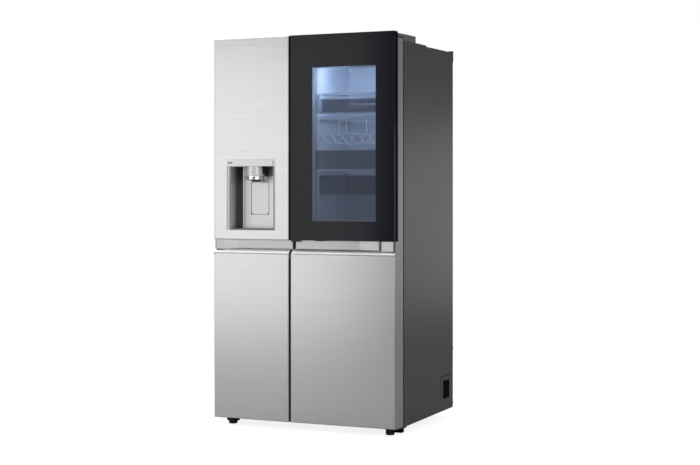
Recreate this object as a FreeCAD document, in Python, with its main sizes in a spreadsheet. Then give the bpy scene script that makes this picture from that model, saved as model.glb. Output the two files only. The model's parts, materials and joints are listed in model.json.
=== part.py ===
import FreeCAD, Part
import os
import re

import Sketcher

# Side by side refrigerator. Millimetres, X to the right, Y to the rear, Z up.
# The origin is on the floor at the centre of the footprint. Places along Y are
# written as a depth behind the front plane of the doors, which is at -depth / 2.

DOC = FreeCAD.newDocument("side_by_side_refrigerator")
SHEET = DOC.addObject("Spreadsheet::Sheet", "dims")
SCRATCH = DOC.addObject("Spreadsheet::Sheet", "scratch")
PARTS = []

DIMENSIONS = [
    ("width", 913, "overall width"),
    ("height", 1790, "overall height, to the top of the doors"),
    ("depth", 735, "overall depth, doors to machine room cover"),
    ("skin", 1.2, "sheet steel of the case"),
    ("play", 0.06, "radial play of a pin in its bore"),
    ("case_front", 105, "front plane of the cabinet"),
    ("case_back", 706, "rear edge of the side panels"),
    ("case_top", 1750, "top of the side panels"),
    ("case_low", 33, "lower front corner of the side panels"),
    ("case_rise", 46, "lower rear corner of the side panels"),
    ("raised_top", 1756, "top of the raised front part of the top panel"),
    ("raised_back", 362, "where the raised part ends"),
    ("raised_foot", 376, "foot of the raised part's slope"),
    ("pan_floor", 50, "underside of the base pan"),
    ("pan_sheet", 2, "thickness of the base pan"),
    ("cap_low", 1703, "lower edge of the rear top cap"),
    ("cap_top", 1757, "top of the rear top cap"),
    ("cap_back", 714, "rear face of the rear top cap"),
    ("room_top", 300, "ceiling of the machine room"),
    ("room_front", 470, "front of the machine room at its ceiling"),
    ("room_foot", 425, "front of the machine room at the base pan"),
    ("liner", 2, "liner wall"),
    ("freezer_left", 411.5, "freezer cavity's outer wall, left of the centre"),
    ("freezer_right", 88, "freezer cavity's inner wall, left of the centre"),
    ("fridge_left", 38, "fridge cavity's inner wall, left of the centre"),
    ("fridge_right", 411.5, "fridge cavity's outer wall"),
    ("cavity_floor", 115, "floor of both cavities"),
    ("cavity_top", 1698, "ceiling of both cavities"),
    ("cavity_back", 645, "rear wall of both cavities"),
    ("step_foot", 410, "foot of the slope over the machine room"),
    ("step_head", 452, "head of that slope"),
    ("step_top", 345, "height of the floor over the machine room"),
    ("door_low", 36, "lower edge of the doors"),
    ("door_back", 95, "rear face of the door cores"),
    ("door_sheet", 6, "door skin with its backing"),
    ("freezer_edge", 68, "free edge of the freezer door, left of the centre"),
    ("fridge_edge", 58.5, "free edge of the fridge door, left of the centre"),
    ("edge_round", 5, "rounding of the skins' edges"),
    ("upper_low", 861, "lower edge of the upper door fronts"),
    ("lip_low", 800, "upper edge of the lower skins"),
    ("lip_front", 803, "where the lip's bevel starts"),
    ("lip_top", 820, "top of the grip lip"),
    ("lip_bevel", 17, "depth of the lip's bevel"),
    ("lip_back", 20, "rear face of the lip"),
    ("channel_low", 786, "floor of the channel in the core"),
    ("channel_back", 42, "rear of the channel in the core"),
    ("grip_wall", 2, "wall behind the fingers"),
    ("ramp_start", 325, "where the channel starts to close at the hinge end"),
    ("ramp_end", 388, "where it has closed"),
    ("ramp_depth", 8, "depth of the closed end"),
    ("pivot", 434.5, "door hinge axis, from the centre plane"),
    ("pivot_back", 70, "depth of the door hinge axis"),
    ("pin", 6, "door hinge pin radius"),
    ("notch_floor", 1763, "top of the core under the hinge arm"),
    ("notch_front", 40, "front wall of that notch"),
    ("notch_half", 18, "from the hinge axis to the notch's inner wall"),
    ("arm_half", 15, "half width of the hinge arm"),
    ("arm_low", 1765, "underside of the hinge arm"),
    ("arm_top", 1769, "top of the hinge arm"),
    ("arm_back", 230, "rear end of the hinge arm"),
    ("cover_top", 1785, "top of the hinge covers"),
    ("cover_back", 244, "rear face of the hinge covers"),
    ("cover_span", 95, "width of a hinge cover"),
    ("cover_wall", 2.5, "hinge cover wall"),
    ("cover_half", 17, "half width of the cover over the arm"),
    ("plate_low", 28, "underside of the lower hinge plate"),
    ("plate_top", 33, "top of the lower hinge plate"),
    ("plate_front", 48, "front of the lower hinge plate"),
    ("plate_back", 140, "rear of the lower hinge plate"),
    ("plate_inner", 375, "inner end of the lower hinge plate"),
    ("foot_place", 400, "foot axis, from the centre plane"),
    ("foot_back", 80, "depth of the foot axis"),
    ("foot_round", 20, "foot radius"),
    ("foot_tall", 26, "height of the foot"),
    ("screw", 5, "foot screw radius"),
    ("roller_place", 350, "roller, from the centre plane"),
    ("roller_back", 560, "depth of the roller axis"),
    ("roller_round", 22, "roller radius"),
    ("roller_half", 11, "half width of a roller"),
    ("axle", 4, "roller axle radius"),
    ("cheek", 3, "thickness of a roller cheek"),
    ("cheek_gap", 1, "gap beside a roller"),
    ("vent_front", 577, "front edge of the side vent"),
    ("vent_back", 657, "rear edge of the side vent"),
    ("vent_low", 100, "lower edge of the side vent"),
    ("vent_top", 186, "upper edge of the side vent"),
    ("vent_deep", 3, "thickness of the vent grille"),
    ("louvre", 5, "height of a louvre"),
    ("louvre_pitch", 10, "spacing of the louvres"),
    ("cover_half_wide", 400, "half width of the machine room cover"),
    ("cover_low", 62, "lower edge of the machine room cover"),
    ("cover_high", 330, "upper edge of the machine room cover"),
    ("slot_tall", 5, "height of a cooling slot"),
    ("slot_half", 90, "half length of a cooling slot"),
    ("slot_pitch", 18, "spacing of the cooling slots"),
    ("dispenser_left", 391, "left side of the dispenser, left of the centre"),
    ("dispenser_right", 134.5, "right side of the dispenser, left of the centre"),
    ("dispenser_low", 902, "lower edge of the dispenser"),
    ("dispenser_top", 1230, "upper edge of the dispenser"),
    ("dispenser_deep", 122, "depth of the dispenser housing"),
    ("dispenser_wall", 2, "dispenser housing wall"),
    ("recess_back", 90, "depth of the recess"),
    ("pocket_back", 118, "rear of the pocket that the paddle swings into"),
    ("pocket_gap", 2.5, "gap round the paddle"),
    ("recess_left", 346.5, "left edge of the recess's rear wall"),
    ("recess_right", 165, "right edge of the recess's rear wall"),
    ("strip_low", 1198, "lower edge of the control strip"),
    ("strip_deep", 9, "depth of the control strip"),
    ("spout_centre", 262.7, "spout and paddle, left of the centre"),
    ("spout_back", 51, "depth of the spout's axis"),
    ("spout_round", 47.5, "spout radius"),
    ("spout_low", 1153, "lower edge of the spout body"),
    ("ring_low", 1136, "lower edge of the spout ring"),
    ("nozzle_round", 20, "nozzle radius"),
    ("nozzle_low", 1128, "lower edge of the nozzle"),
    ("paddle_half", 44.5, "half width of the paddle"),
    ("paddle_low", 978, "lower edge of the paddle"),
    ("paddle_pivot", 1121, "height of the paddle's axis"),
    ("paddle_axis", 95.5, "depth of the paddle's axis"),
    ("paddle_back", 92, "depth of the paddle's middle"),
    ("paddle_thick", 4, "paddle thickness"),
    ("paddle_pin", 2.5, "paddle pin radius"),
    ("tray_top", 912, "top of the drip tray"),
    ("seal_edge", 434, "outer edge of the door seals at the hinge side"),
    ("seal_free_freezer", 70, "free edge of the freezer door seal"),
    ("seal_free_fridge", 56, "free edge of the fridge door seal"),
    ("seal_width", 16, "width of a door seal"),
    ("seal_low", 90, "lower edge of the door seals"),
    ("seal_top", 1722, "upper edge of the door seals"),
    ("seal_back", 104.6, "rear face of the door seals"),
    ("inner_sheet", 3, "door liner sheet"),
    ("tower_back", 175, "rear end of the door towers"),
    ("tower_wall", 8, "wall of the door towers"),
    ("bin_back", 170, "rear face of the door bins"),
    ("sleeve_back", 118, "rear end of the sleeve round the fridge door's opening"),
    ("inner_bin_back", 150, "rear face of the bins in that opening"),
    ("bin_wall", 3, "bin and drawer wall"),
    ("bin_tall", 95, "height of a door bin"),
    ("bulge_back", 134, "rear face of the liner behind the dispenser"),
    ("corner", 12, "corner rounding of bins and drawers"),
    ("opening_left", 30, "left side of the opening in the fridge door"),
    ("opening_right", 392, "right side of that opening"),
    ("opening_low", 905, "lower side of that opening"),
    ("opening_top", 1660, "upper side of that opening"),
    ("window_left", 49.7, "left side of the clear window"),
    ("window_right", 365, "right side of the clear window"),
    ("window_low", 950, "lower side of the clear window"),
    ("window_top", 1642, "upper side of the clear window"),
    ("glass_sheet", 4, "outer glass"),
    ("view_back", 36, "rear face of the outer door's frame"),
    ("view_edge", 0.5, "setback of that frame behind the glass edge"),
    ("pane_front", 24, "front of the inner pane"),
    ("view_seal_back", 39.6, "rear face of the outer door's seal"),
    ("view_pivot", 444.5, "outer door's hinge axis"),
    ("view_pivot_back", 14, "depth of that axis"),
    ("view_pin", 4, "outer door's pin radius"),
    ("view_half", 7.5, "half width of an outer door hinge plate"),
    ("view_plate", 4, "thickness of such a plate"),
    ("view_low", 857.5, "underside of the lower such plate"),
    ("view_high", 1757, "underside of the upper such plate"),
    ("view_tail", 55, "rear end of such a plate, let into the core"),
    ("pin_tall", 18, "length of the outer door's pins"),
    ("button_left", 60, "left end of the push latch"),
    ("button_right", 100, "right end of the push latch"),
    ("button_front", 13, "front of the push latch"),
    ("button_back", 25, "rear of the push latch"),
    ("button_low", 859, "underside of the push latch"),
    ("button_top", 868, "top of the push latch"),
    ("button_room", 874, "top of the pocket it slides in"),
    ("slide_gap", 0.3, "gap round a sliding piece"),
    ("shelf_front", 190, "front of shelves and drawers"),
    ("shelf_back", 560, "rear of shelves and drawers"),
    ("shelf_trim", 12, "depth of a shelf's front trim"),
    ("shelf_sheet", 4, "shelf glass"),
    ("trim_up", 3, "front trim above the glass top"),
    ("trim_down", 13, "front trim below the glass top"),
    ("slim_trim", 5, "the first shelf's slimmer trim below the glass top"),
    ("rail_wide", 10, "shelf side rail"),
    ("fridge_shelf_a", 1512, "first fridge shelf"),
    ("fridge_shelf_b", 1430, "second fridge shelf"),
    ("fridge_shelf_c", 1175, "third fridge shelf, over the deli drawer"),
    ("fridge_shelf_d", 880, "fourth fridge shelf"),
    ("fridge_shelf_e", 612, "fifth fridge shelf, over the crispers"),
    ("freezer_shelf_a", 1390, "first freezer shelf"),
    ("freezer_shelf_b", 1130, "second freezer shelf"),
    ("freezer_shelf_c", 870, "third freezer shelf"),
    ("freezer_shelf_d", 612, "fourth freezer shelf"),
    ("deli_front", 200, "front of the deli drawer"),
    ("deli_low", 1066, "underside of the deli drawer"),
    ("deli_top", 1156, "top of the deli drawer"),
    ("upper_drawer_low", 347, "underside of the upper drawers"),
    ("upper_drawer_top", 592, "top of the upper drawers"),
    ("lower_drawer_low", 117, "underside of the lower drawers"),
    ("lower_drawer_top", 336, "top of the lower drawers"),
    ("lower_drawer_back", 400, "rear of the lower drawers"),
    ("drawer_gap", 8, "gap beside a drawer"),
    ("pull", 10, "how far a drawer's pull stands out"),
    ("duct_front", 576, "front of the duct panels"),
    ("duct_sheet", 4, "duct panel thickness"),
    ("outlet_low", 700, "first row of air outlets"),
    ("outlet_tall", 8, "height of an air outlet"),
    ("outlet_pitch", 260, "spacing of the air outlets"),
    ("fin", 1.5, "fin thickness"),
    ("tube", 4, "coil tube radius"),
    ("fan_back", 600, "depth of the condenser fan's axis"),
    ("fan_high", 165, "height of the condenser fan's axis"),
    ("fan_round", 80, "radius of the condenser fan"),
    ("fan_left", -60, "plane of the fan blades"),
    ("hub", 18, "fan hub radius"),
    ("hub_long", 24, "fan hub length"),
    ("shaft", 2.5, "fan motor shaft radius"),
    ("blade_run", 11, "half length of a blade along the axis"),
    ("blade_rise", 20, "half length of a blade across the axis"),
    ("blade_thick", 3, "blade thickness along the axis"),
    ("compressor_place", -250, "compressor, from the centre plane"),
    ("compressor_back", 590, "depth of the compressor"),
    ("compressor_round", 78, "compressor radius"),
    ("wire", 2.5, "rack wire radius"),
    ("rack_high", 1352, "height of the rack's upper bends"),
    ("rack_dip", 44, "depth of the rack's dips"),
    ("rack_flat", 22, "flat between two dips"),
    ("rack_slope", 28, "width of a dip's slope"),
    ("rack_bed", 62, "width of a dip's bed"),
]


def fill_sheet():
    """Write the driving dimensions to the sheet, one row each, with their aliases."""
    for row, (alias, value, meaning) in enumerate(DIMENSIONS, start=1):
        SHEET.set("A%d" % row, meaning)
        SHEET.set("B%d" % row, str(value))
        SHEET.setAlias("B%d" % row, alias)
    DOC.recompute()


def bound(formula):
    """Spell a formula of sheet words the way an object's expression needs it."""
    return re.sub(r"[a-z][a-z_]+", lambda word: "dims." + word.group(0), formula)


def value(formula):
    """Number that a formula of sheet words gives, worked out on the scratch sheet."""
    SCRATCH.set("A1", "=" + bound(formula))
    SCRATCH.recompute()
    return float(SCRATCH.get("A1"))


def behind(depth):
    """Formula for the Y of a place that lies this deep behind the doors' front plane."""
    return "(%s) - depth / 2" % depth


def place(item, x, d, z):
    """Bind an object's position to formulas."""
    item.setExpression(".Placement.Base.x", bound(x))
    item.setExpression(".Placement.Base.y", bound(behind(d)))
    item.setExpression(".Placement.Base.z", bound(z))
    return item


def block(x, d, z):
    """Box between two corners, each side given as a pair of formulas."""
    item = DOC.addObject("Part::Box", "block")
    for side, (low, high) in (("Length", x), ("Width", d), ("Height", z)):
        item.setExpression(side, bound("(%s) - (%s)" % (high, low)))
    return place(item, x[0], d[0], z[0])


TURNS = {
    "x": FreeCAD.Rotation(FreeCAD.Vector(0, 1, 0), 90),
    "y": FreeCAD.Rotation(FreeCAD.Vector(1, 0, 0), -90),
    "z": FreeCAD.Rotation(),
}


def rod(axis, at, radius, length):
    """Cylinder that starts at a place and runs along +X, +Y or +Z."""
    item = DOC.addObject("Part::Cylinder", "rod")
    item.Placement = FreeCAD.Placement(FreeCAD.Vector(), TURNS[axis])
    item.setExpression("Radius", bound(radius))
    item.setExpression("Height", bound(length))
    return place(item, *at)


def join(items):
    """One solid from several that touch or overlap."""
    item = DOC.addObject("Part::MultiFuse", "join")
    item.Shapes = items
    item.Refine = True
    return item


def cut(base, tools):
    """A piece less one or more tools."""
    item = DOC.addObject("Part::Cut", "cut")
    item.Base = base
    item.Tool = tools[0] if len(tools) == 1 else join(tools)
    return item


def group(items):
    """Separate solids that share one node."""
    item = DOC.addObject("Part::Compound", "group")
    item.Links = items
    return item


def rounded(base, radius, chosen):
    """The piece with the chosen edges rounded; the radius is a sheet word."""
    DOC.recompute()
    size = value(radius)
    item = DOC.addObject("Part::Fillet", "rounded")
    item.Base = base
    edges = enumerate(base.Shape.Edges, start=1)
    item.Edges = [(index, size, size) for index, edge in edges if chosen(edge)]
    return item


def along(axis):
    """Test for straight edges that run along an axis, 0 for X, 1 for Y, 2 for Z."""
    def test(edge):
        ends = [vertex.Point for vertex in edge.Vertexes]
        if len(ends) != 2:
            return False
        run = ends[1] - ends[0]
        return abs(abs(run[axis]) - run.Length) < 1e-6 < run.Length
    return test


def part(name, item):
    """Name a finished sub-part."""
    item.Label = name
    PARTS.append(item)
    return item


def origin_plane(body, role):
    """The body's own origin plane."""
    return [face for face in body.Origin.OriginFeatures if face.Role == role][0]


def polygon_sketch(body, role, points):
    """Closed outline in an origin plane, every corner bound to two formulas."""
    sketch = body.newObject("Sketcher::SketchObject", "outline")
    sketch.AttachmentSupport = [(origin_plane(body, role), "")]
    sketch.MapMode = "FlatFace"
    corners = [FreeCAD.Vector(value(u), value(v), 0) for u, v in points]
    count = len(corners)
    for index, corner in enumerate(corners):
        sketch.addGeometry(Part.LineSegment(corner, corners[(index + 1) % count]))
    for index in range(count):
        after = (index + 1) % count
        sketch.addConstraint(Sketcher.Constraint("Coincident", index, 2, after, 1))
    for index, corner in enumerate(corners):
        for kind, size, formula in (("DistanceX", corner.x, points[index][0]),
                                    ("DistanceY", corner.y, points[index][1])):
            number = sketch.addConstraint(
                Sketcher.Constraint(kind, -1, 1, index, 1, size))
            sketch.setExpression("Constraints[%d]" % number, bound(formula))
    return sketch


def circle_sketch(body, role, u, v, radius):
    """Circle in an origin plane, bound to formulas."""
    sketch = body.newObject("Sketcher::SketchObject", "circle")
    sketch.AttachmentSupport = [(origin_plane(body, role), "")]
    sketch.MapMode = "FlatFace"
    centre = FreeCAD.Vector(value(u), value(v), 0)
    sketch.addGeometry(Part.Circle(centre, FreeCAD.Vector(0, 0, 1), value(radius)))
    sizes = (("DistanceX", centre.x, u), ("DistanceY", centre.y, v))
    for kind, size, formula in sizes:
        number = sketch.addConstraint(Sketcher.Constraint(kind, -1, 1, 0, 3, size))
        sketch.setExpression("Constraints[%d]" % number, bound(formula))
    number = sketch.addConstraint(Sketcher.Constraint("Radius", 0, value(radius)))
    sketch.setExpression("Constraints[%d]" % number, bound(radius))
    return sketch


def pad(body, sketch, length):
    """Pad a sketch of the body along its plane's normal."""
    feature = body.newObject("PartDesign::Pad", "pad")
    feature.Profile = sketch
    feature.setExpression("Length", bound(length))
    return feature


def side_profile(points, x):
    """Outline of (depth, height) corners, run along X from one formula to another."""
    body = DOC.addObject("PartDesign::Body", "profile")
    pad(body, polygon_sketch(body, "YZ_Plane", points), "(%s) - (%s)" % (x[1], x[0]))
    return place(body, x[0], "0", "0")


def plan_profile(points, z):
    """Outline of (x, depth) corners, run up Z from one formula to another."""
    body = DOC.addObject("PartDesign::Body", "plan")
    pad(body, polygon_sketch(body, "XY_Plane", points), "(%s) - (%s)" % (z[1], z[0]))
    return place(body, "0", "0", z[0])


def tub(x, d, z, wall="bin_wall"):
    """Open-topped box with rounded upright corners."""
    inside = [("(%s) + %s" % (low, wall), "(%s) - %s" % (high, wall))
              for low, high in (x, d)]
    outer = rounded(block(x, d, z), "corner", along(2))
    hollow = block(inside[0], inside[1], ("(%s) + %s" % (z[0], wall), "(%s) + 1" % z[1]))
    return cut(outer, [rounded(hollow, "corner - " + wall, along(2))])


def ring(x, d, z, width):
    """Flat frame in the XZ plane, its width taken inwards."""
    inner_x = ("(%s) + %s" % (x[0], width), "(%s) - %s" % (x[1], width))
    inner_z = ("(%s) + %s" % (z[0], width), "(%s) - %s" % (z[1], width))
    inner_d = ("(%s) - 1" % d[0], "(%s) + 1" % d[1])
    return cut(block(x, d, z), [block(inner_x, inner_d, inner_z)])


# Both compartments, as formulas for X.
FREEZER_X = ("-freezer_left", "-freezer_right")
FRIDGE_X = ("-fridge_left", "fridge_right")
CASE_X = ("-width / 2 + skin", "width / 2 - skin")
CAVITY_PROFILE = [
    ("case_front + skin", "cavity_floor"),
    ("step_foot", "cavity_floor"),
    ("step_head", "step_top"),
    ("cavity_back", "step_top"),
    ("cavity_back", "cavity_top"),
    ("case_front + skin", "cavity_top"),
]
LINER_PROFILE = [
    ("case_front + skin", "cavity_floor - liner"),
    ("step_foot + liner", "cavity_floor - liner"),
    ("step_head + liner", "step_top - liner"),
    ("cavity_back + liner", "step_top - liner"),
    ("cavity_back + liner", "cavity_top + liner"),
    ("case_front + skin", "cavity_top + liner"),
]


def make_case():
    """Side panels, top, front frame, rear panel, base pan and foam."""
    side = [("case_front", "case_low"), ("case_back", "case_rise"),
            ("case_back", "case_top"), ("case_front", "case_top")]
    part("side_panel_left", side_profile(side, ("-width / 2", "-width / 2 + skin")))
    sheet = side_profile(side, ("width / 2 - skin", "width / 2"))
    vent = block(("width / 2 - 5", "width / 2 + 1"), ("vent_front", "vent_back"),
                 ("vent_low", "vent_top"))
    edge = ("width / 2 - skin / 2", "width / 2 + 1")
    grooves = [
        block(edge, ("vent_front - 30", "vent_front - 26"), ("vent_low - 22", "vent_top + 18")),
        block(edge, ("vent_front - 30", "vent_back + 20"), ("vent_top + 18", "vent_top + 22")),
    ]
    part("side_panel_right", cut(sheet, [vent] + grooves))
    top = [("case_front", "case_top"), ("case_front", "raised_top"),
           ("raised_back", "raised_top"), ("raised_foot", "case_top"),
           ("case_back", "case_top"), ("case_back", "case_top - skin"),
           ("case_front + skin", "case_top - skin"), ("case_front + skin", "case_top")]
    part("top_panel", side_profile(top, CASE_X))
    front = block(CASE_X, ("case_front", "case_front + skin"), ("pan_floor", "case_top"))
    holes = [block(x, ("case_front - 1", "case_front + skin + 1"),
                   ("cavity_floor", "cavity_top")) for x in (FREEZER_X, FRIDGE_X)]
    part("front_frame", cut(front, holes))
    part("rear_panel", block(CASE_X, ("case_back - skin", "case_back"),
                             ("room_top", "case_top - skin")))
    cap = [("case_back - 8", "case_top"), ("case_back - 8", "cap_top"),
           ("cap_back", "cap_top"), ("cap_back", "cap_low"),
           ("case_back", "cap_low"), ("case_back", "case_top")]
    part("rear_top_cap", side_profile(cap, ("-width / 2 + 0.5", "width / 2 - 0.5")))
    foam = [("case_front + skin", "pan_floor + pan_sheet"),
            ("room_foot", "pan_floor + pan_sheet"), ("room_front", "room_top"),
            ("case_back - skin", "room_top"), ("case_back - skin", "case_top - skin"),
            ("case_front + skin", "case_top - skin")]
    hollows = [side_profile(LINER_PROFILE, ("%s - liner" % x[0], "%s + liner" % x[1]))
               for x in (FREEZER_X, FRIDGE_X)]
    part("cabinet_foam", cut(side_profile(foam, CASE_X), hollows))
    for name, x in (("freezer_liner", FREEZER_X), ("fridge_liner", FRIDGE_X)):
        shell = side_profile(LINER_PROFILE, ("%s - liner" % x[0], "%s + liner" % x[1]))
        room = rounded(side_profile(CAVITY_PROFILE, x), "corner", along(1))
        part(name, cut(shell, [room]))


def make_base():
    """Base pan with the roller cheeks, rollers and feet."""
    floor = ("pan_floor", "pan_floor + pan_sheet")
    pieces = [block(CASE_X, ("case_front + skin", "case_back"), floor),
              block(CASE_X, ("case_front + skin", "case_front + skin + pan_sheet"),
                    ("plate_top + 3", "pan_floor"))]
    bores = []
    for side, name in (("-", "left"), ("", "right")):
        centre = side + "roller_place"
        for start in ("-roller_half - cheek_gap - cheek", "+ roller_half + cheek_gap"):
            near = "%s %s" % (centre, start)
            pieces.append(block((near, near + " + cheek"),
                                ("roller_back - 14", "roller_back + 14"),
                                ("roller_round - 9", "pan_floor")))
        reach = "roller_half + cheek_gap + cheek"
        start = "%s - %s" % (centre, "roller_half - cheek_gap - cheek")
        bores.append(rod("x", (start, "roller_back", "roller_round"),
                         "axle + play", "2 * (%s)" % reach))
        wheel = rod("x", (centre + " - roller_half", "roller_back", "roller_round"),
                    "roller_round", "2 * roller_half")
        shaft = rod("x", (start, "roller_back", "roller_round"),
                    "axle", "2 * (%s)" % reach)
        part("roller_" + name, join([wheel, shaft]))
        foot = [rod("z", (side + "foot_place", "foot_back", "0"), "foot_round - 1.5", "4"),
                rod("z", (side + "foot_place", "foot_back", "4"), "foot_round",
                    "foot_tall - 4"),
                rod("z", (side + "foot_place", "foot_back", "foot_tall"), "screw",
                    "plate_top - foot_tall")]
        part("foot_" + name, join(foot))
    part("base_pan", cut(join(pieces), bores))


def make_hinges():
    """Hinge brackets with their pins, top and bottom, and the covers over the top ones."""
    brackets = []
    covers = []
    for sign in (-1, 1):
        mirror = "%d * " % sign

        def across(inner, outer):
            """X range between two distances from the centre plane, on this side."""
            ends = (mirror + "(%s)" % inner, mirror + "(%s)" % outer)
            return ends if sign > 0 else (ends[1], ends[0])

        axis = mirror + "pivot"
        arm_x = across("pivot - arm_half", "pivot + arm_half")
        top = [block(arm_x, ("pivot_back", "arm_back"), ("arm_low", "arm_top")),
               rod("z", (axis, "pivot_back", "arm_low"), "arm_half", "arm_top - arm_low"),
               rod("z", (axis, "pivot_back", "notch_floor - 22"), "pin",
                   "arm_low - notch_floor + 22"),
               block(arm_x, ("case_front + 8", "arm_back - 6"), ("raised_top", "arm_low"))]
        for step in ("25", "60", "95"):
            top.append(rod("z", (axis, "case_front + " + step, "arm_top"), "5", "3"))
        brackets.append(join(top))
        plate = block(across("plate_inner", "width / 2 - skin - 1"),
                      ("plate_front", "plate_back"), ("plate_low", "plate_top"))
        leg = block(across("plate_inner + 10", "width / 2 - skin - 1"),
                    ("case_front + skin + pan_sheet", "plate_back"),
                    ("plate_top", "pan_floor"))
        stud = rod("z", (axis, "pivot_back", "plate_low"), "pin",
                   "door_low + 22 - plate_low")
        thread = rod("z", (mirror + "foot_place", "foot_back", "plate_low - 1"),
                     "screw + play", "plate_top - plate_low + 2")
        brackets.append(cut(join([plate, leg, stud]), [thread]))
        outer_x = across("width / 2 - cover_span", "width / 2 - 1.5")
        inner_x = across("width / 2 - cover_span + cover_wall",
                         "width / 2 - 1.5 - cover_wall")
        body = block(outer_x, ("case_front", "cover_back"), ("raised_top", "cover_top"))
        room = block(inner_x, ("case_front + cover_wall", "cover_back - cover_wall"),
                     ("raised_top - 1", "cover_top - cover_wall"))
        door = block(across("pivot - arm_half - 0.5", "pivot + arm_half + 0.5"),
                     ("case_front - 1", "case_front + cover_wall + 1"),
                     ("raised_top - 1", "arm_top + 0.5"))
        hood = [block(across("pivot - cover_half", "pivot + cover_half"),
                      ("pivot_back", "case_front"), ("arm_top + 0.5", "cover_top")),
                rod("z", (axis, "pivot_back", "arm_top + 0.5"), "cover_half",
                    "cover_top - arm_top - 0.5")]
        covers.append(cut(join([body] + hood), [room, door]))
    part("cabinet_hinges", group(brackets))
    part("hinge_covers", group(covers))


def make_machine_room():
    """Cover, side grille, compressor, condenser, fan and power inlet."""
    body = DOC.addObject("PartDesign::Body", "rear_cover")
    box = polygon_sketch(body, "XZ_Plane", [
        ("-cover_half_wide", "cover_low"), ("cover_half_wide", "cover_low"),
        ("cover_half_wide", "cover_high"), ("-cover_half_wide", "cover_high")])
    pad(body, box, "depth - case_back")
    place(body, "0", "depth", "0")
    flange = block(CASE_X, ("case_back", "case_back + 1.5"), ("pan_floor + 3", "cover_high + 8"))
    hollow = block(("-cover_half_wide + 3", "cover_half_wide - 3"),
                   ("case_back - 1", "depth - 3"), ("cover_low + 3", "room_top - 12"))
    slots = []
    for centre in ("-240", "0", "240"):
        for row in range(10):
            low = "cover_low + 45 + %d * slot_pitch" % row
            slots.append(block(("%s - slot_half" % centre, "%s + slot_half" % centre),
                               ("depth - 5", "depth + 1"), (low, low + " + slot_tall")))
    part("machine_room_cover", cut(join([body, flange]), [hollow] + slots))

    grille_x = ("width / 2 - vent_deep", "width / 2")
    opening = (("vent_front", "vent_back"), ("vent_low", "vent_top"))
    frame = cut(block(grille_x, *opening),
                [block(("width / 2 - vent_deep - 1", "width / 2 + 1"),
                       ("vent_front + 3", "vent_back - 3"), ("vent_low + 3", "vent_top - 3"))])
    bars = [block(("width / 2 - vent_deep", "width / 2 - 0.6"), ("vent_front + 2", "vent_back - 2"),
                  ("vent_low + 8 + %d * louvre_pitch" % row,
                   "vent_low + 8 + %d * louvre_pitch + louvre" % row)) for row in range(8)]
    part("side_vent_grille", join([frame] + bars))

    centre = ("compressor_place", "compressor_back")
    drum = rounded(rod("z", centre + ("pan_floor + 22",), "compressor_round", "130"),
                   "screw * 5", lambda edge: edge.Closed and len(edge.Vertexes) == 1)
    foot = block(("compressor_place - 95", "compressor_place + 95"),
                 ("compressor_back - 60", "compressor_back + 60"),
                 ("pan_floor + 14", "pan_floor + 24"))
    pads = [rod("z", ("compressor_place + (%d)" % dx, "compressor_back + (%d)" % dy,
                      "pan_floor + pan_sheet"), "9", "14 - pan_sheet")
            for dx in (-80, 80) for dy in (-45, 45)]
    part("compressor", join([drum, foot] + pads))

    fins = [block(("70 + %d * 12" % n, "70 + %d * 12 + fin" % n), ("500", "690"),
                  ("pan_floor + pan_sheet", "room_top - 30")) for n in range(14)]
    tubes = [rod("x", ("60", "%d" % d, "%d" % z), "tube", "200")
             for d in (540, 600, 650) for z in (90, 150, 210)]
    part("condenser", join(fins + tubes))

    wall = block(("fan_left + 18", "fan_left + 22"), ("500", "702"),
                 ("pan_floor + pan_sheet", "room_top - 10"))
    throat = rod("x", ("fan_left + 10", "fan_back", "fan_high"), "fan_round + 6", "20")
    motor = rod("x", ("fan_left + 18", "fan_back", "fan_high"), "24", "36")
    spokes = [block(("fan_left + 18", "fan_left + 22"), ("fan_back - 4", "fan_back + 4"),
                    ("fan_high - fan_round - 10", "fan_high + fan_round + 10")),
              block(("fan_left + 18", "fan_left + 22"),
                    ("fan_back - fan_round - 10", "fan_back + fan_round + 10"),
                    ("fan_high - 4", "fan_high + 4"))]
    axle = rod("x", ("fan_left - 8", "fan_back", "fan_high"), "shaft", "30")
    part("fan_shroud", join([cut(wall, [throat]), motor, axle] + spokes))

    fan = DOC.addObject("PartDesign::Body", "fan")
    ring_sketch = circle_sketch(fan, "YZ_Plane", "0", "0", "hub")
    hub = pad(fan, ring_sketch, "hub_long")
    hub.SideType = "Symmetric"
    section = polygon_sketch(fan, "XY_Plane", [
        ("-blade_run", "-blade_rise"), ("-blade_run + blade_thick", "-blade_rise"),
        ("blade_run", "blade_rise"), ("blade_run - blade_thick", "blade_rise")])
    blade = pad(fan, section, "fan_round")
    blades = fan.newObject("PartDesign::PolarPattern", "blades")
    blades.Originals = [blade]
    blades.Axis = (ring_sketch, ["N_Axis"])
    blades.Angle = 360
    blades.Occurrences = 5
    fan.Tip = blades
    place(fan, "fan_left", "fan_back", "fan_high")
    bore = rod("x", ("fan_left - 10", "fan_back", "fan_high"), "shaft + play", "40")
    part("condenser_fan", cut(fan, [bore]))

    socket = block(("300", "340"), ("case_back", "case_back + 16"), ("352", "384"))
    mouth = block(("306", "334"), ("case_back + 4", "case_back + 17"), ("358", "378"))
    blades = [block(("%d" % x, "%d" % (x + 2)), ("case_back + 3", "case_back + 13"),
                    ("364", "372")) for x in (312, 319, 326)]
    part("power_inlet", join([cut(socket, [mouth])] + blades))


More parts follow.
